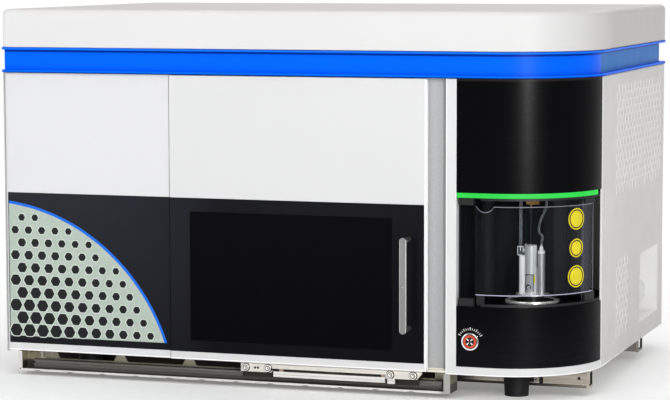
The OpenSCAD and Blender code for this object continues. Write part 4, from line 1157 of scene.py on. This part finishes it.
def chamfer_box(bm, x0, y0, z0, x1, y1, z1, r=0.6):
    """Box with bevelled edges, in panel mm."""
    tmp = bmesh.new()
    bmesh.ops.create_cube(tmp, size=1.0)
    for v in tmp.verts:
        v.co = P(x0 + (v.co.x + 0.5) * (x1 - x0), y0 + (v.co.y + 0.5) * (y1 - y0), z0 + (v.co.z + 0.5) * (z1 - z0))
    bmesh.ops.bevel(tmp, geom=tmp.edges[:], offset=r / 1000.0, segments=2, profile=0.6, affect="EDGES")
    me = bpy.data.meshes.new("tmp")
    tmp.to_mesh(me)
    tmp.free()
    bm.from_mesh(me)
    bpy.data.meshes.remove(me)


# clamp round the left hose: a clear block held by white clips
bm = bmesh.new()
chamfer_box(bm, SX - 23, SY - 5.8, BZ0 + 81.8, SX - 11.6, SY + 5.8, BZ0 + 98.3, 1.2)
clamp = obj("hose_clamp", bm, "clear_plastic", "chassis")
bm = bmesh.new()
chamfer_box(bm, SX - 22.9, SY - 6.0, BZ0 + 96.6, SX - 11.7, SY - 5.2, BZ0 + 98.4, 0.3)
chamfer_box(bm, SX - 22.9, SY - 6.0, BZ0 + 81.7, SX - 11.7, SY - 5.2, BZ0 + 83.2, 0.3)
chamfer_box(bm, SX - 22.9, SY - 6.0, BZ0 + 81.9, SX - 21.6, SY - 5.2, BZ0 + 98.2, 0.3)
chamfer_box(bm, SX - 13.2, SY - 6.0, BZ0 + 86.5, SX - 11.7, SY - 5.2, BZ0 + 98.2, 0.3)
chamfer_box(bm, SX - 17.8, SY - 6.0, BZ0 + 90.0, SX - 16.4, SY - 5.2, BZ0 + 97.0, 0.3)
chamfer_box(bm, SX - 12.0, SY - 6.0, BZ0 + 90.6, SX - 9.2, SY - 4.9, BZ0 + 93.8, 0.3)
clips = obj("hose_clamp_clips", bm, M_CLIP, "chassis")
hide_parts("bay_tubing")
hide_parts("bay_tubing")
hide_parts("bay_tubing")
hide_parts("bay_tubing")


def cyl_band(bm, cx, cy, r, z0, z1, t, a0=0.0, a1=360.0, seg=48):
    """Thin sleeve on a cylinder, from radius r to r + t, between two angles in degrees."""
    full = abs(a1 - a0) >= 359.9
    n = seg
    vs = []
    for i in range(n if full else n + 1):
        a = math.radians(a0 + (a1 - a0) * i / n)
        c, sn = math.cos(a), math.sin(a)
        vs.append([bm.verts.new(P(cx + rr * c, cy + rr * sn, zz)) for rr, zz in ((r, z0), (r + t, z0), (r + t, z1), (r, z1))])
    m = len(vs)
    for i in range(m if full else m - 1):
        a, b = vs[i], vs[(i + 1) % m]
        for k in range(4):
            j = (k + 1) % 4
            bm.faces.new((a[k], a[j], b[j], b[k]))
    if not full:
        bm.faces.new(vs[0])
        bm.faces.new(list(reversed(vs[-1])))
    fix_normals(bm)


# white cap sleeve of the wash cylinder, and the frame, label strip and tube end at the window of the holder
bm = bmesh.new()
cyl_band(bm, SX + 19.4, SY, 5.85, BZ0 + 85.8, BZ0 + 90.9, 0.5)
cyl_band(bm, SX + 19.4, SY, 2.05, BZ0 + 91.0, BZ0 + 95.5, 1.6)
cyl_band(bm, SX + 19.4, SY, 2.05, BZ0 + 95.5, BZ0 + 98.6, 0.8)
obj("wash_cap_sleeve", bm, M_CLIP, "chassis")
bm = bmesh.new()
for a0, a1, z0, z1 in ((-134, -46, 47.9, 49.2), (-134, -130, 18.0, 48.6), (-50, -46, 18.0, 48.6)):
    cyl_band(bm, SX, SY, 10.92, BZ0 + z0, BZ0 + z1, 0.22, a0, a1, 24)
obj("holder_window_frame", bm, print_mat("frame_grey", (0.035, 0.038, 0.040), 0.35), "chassis")
bm = bmesh.new()
cyl_band(bm, SX, SY, 10.92, BZ0 + 33.0, BZ0 + 46.5, 0.30, -46, -32, 10)
obj("holder_level_strip", bm, M_YELLOW, "chassis")
bm = bmesh.new()
cyl_band(bm, SX, SY, 8.6, BZ0 + 18.2, BZ0 + 47.8, 0.5, -141, -39, 30)
obj("holder_window_pane", bm, print_mat("window_frosted", (0.36, 0.37, 0.375), 0.30), "chassis")
bm = bmesh.new()
chamfer_box(bm, SX - 15.2, SY - 5.6, BZ0 + 15.2, SX - 7.6, SY - 3.9, BZ0 + 81.2, 0.5)
obj("holder_front_web", bm, "tube_steel", "chassis")
# round-bottomed well seen through the window
bm = bmesh.new()
prev = None
cw = []
for i in range(33):
    a = math.radians(-40 + 290 * i / 32)
    cw.append((4.1 * math.cos(a), 4.4 * math.sin(a), 1.1 + 0.9 * math.sin(math.pi * i / 32)))
yy = SY - 9.25
o = [bm.verts.new(P(SX - 1.6 + u * (1 + w / 4.2 * 0.5), yy, BZ0 + 25.5 + v * (1 + w / 4.2 * 0.5))) for u, v, w in cw]
q = [bm.verts.new(P(SX - 1.6 + u * (1 - w / 4.2 * 0.5), yy, BZ0 + 25.5 + v * (1 - w / 4.2 * 0.5))) for u, v, w in cw]
o2 = [bm.verts.new(v.co + Vector((0, 0.0002, 0))) for v in o]
q2 = [bm.verts.new(v.co + Vector((0, 0.0002, 0))) for v in q]
for i in range(32):
    for a, b, c, d in ((o[i], o[i + 1], q[i + 1], q[i]), (o2[i], q2[i], q2[i + 1], o2[i + 1]), (o[i], o2[i], o2[i + 1], o[i + 1]), (q[i], q[i + 1], q2[i + 1], q2[i])):
        bm.faces.new((a, b, c, d))
bm.faces.new((o[0], q[0], q2[0], o2[0]))
bm.faces.new((o[-1], o2[-1], q2[-1], q[-1]))
fix_normals(bm)
obj("holder_well_ring", bm, M_BLACKP, "chassis")

# fittings in the ceiling of the bay, just under the light strip
bm = bmesh.new()
cyl_band(bm, SX - 18.2, SY, 2.95, BZ1 - 3.6, BZ1 + 8.0, 1.9)
obj("hose_collar_left", bm, M_CLIP, "chassis")
bm = bmesh.new()
cyl_band(bm, 1003, SY + 16, 2.35, BZ1 - 4.0, BZ1 + 8.0, 1.6)
obj("hose_collar_right", bm, M_CLIP, "chassis")

# ------------------------------------------------------------------ small things inside the left end of the tray
M_DARKM = print_mat("hole_dark", (0.010, 0.009, 0.009), 0.5)
M_OLIVE = print_mat("block_olive", (0.20, 0.18, 0.12), 0.45)
M_BRIGHT = print_mat("bar_bright", (0.62, 0.60, 0.56), 0.30)
# dark discs for holes: painted shade
bm = bmesh.new()
prism(bm, ngon(44.5, -24.5, 2.6, 24), 23.2, 23.95)
for u, v, r in ((31.5, -8.6, 1.2), (36.5, -8.2, 1.0), (42.0, -8.9, 1.2)):
    prism(bm, ngon(u, v, r, 16), 42.2, 42.95)
fix_normals(bm)
obj("tray_end_holes", bm, M_DARKM, "chassis")
bm = bmesh.new()
chamfer_box(bm, 53.0, 36.5, -18.6, 56.0, 42.9, -3.0, 0.5)
chamfer_box(bm, 48.5, 37.5, -19.6, 60.5, 42.9, -17.4, 0.5)
obj("tray_end_bar", bm, M_BRIGHT, "chassis")
# dark plate inside the front cross rail, painted shade seen through its notches and hole
bm = bmesh.new()
chamfer_box(bm, 866.0, 107.0, -29.6, 1079.5, 108.4, -4.9, 0.4)
obj("front_rail_shade_plate", bm, M_DARKM, "chassis")
# screw in the left end post of the tray
bm = bmesh.new()
prism(bm, ngon(25.0, -35.4, 1.25, 20), 5.86, 5.99)
fix_normals(bm)
obj("tray_post_screw", bm, M_DARKM, "chassis")
# small head of the pin in the handle
bm = bmesh.new()
prism(bm, ngon(783.8, 153.0, 0.78, 16), -38.0, -37.2)
fix_normals(bm)
obj("handle_pin", bm, M_WHITE, "door")


# ------------------------------------------------------------------ floor
bm = bmesh.new()
s = 14.0
vs = [bm.verts.new((x, y, 0.0)) for x, y in ((-s, -s), (s, -s), (s, s), (-s, s))]
bm.faces.new(vs)
me = bpy.data.meshes.new("floor")
bm.to_mesh(me)
bm.free()
floor = bpy.data.objects.new("floor", me)
scene.collection.objects.link(floor)
fm = NT("floor_pale")
fm.set(IOR=1.3, Roughness=0.8, Emission_Color=(1.0, 1.0, 1.0))
fx, fy, fz = fm.xyz()
fm.l(fm.rng(fm.dist(fx, fy, [(0.0, 0.0)]), 0.9, 3.2, 0.17, 0.46), fm.b.inputs["Emission Strength"])
fm.color(fm.mixc(fm.rng(fm.noise(1.5, 3), 0.3, 0.7, 0, 1), (0.90, 0.90, 0.90), (0.91, 0.91, 0.91)))
me.materials.append(fm.m)
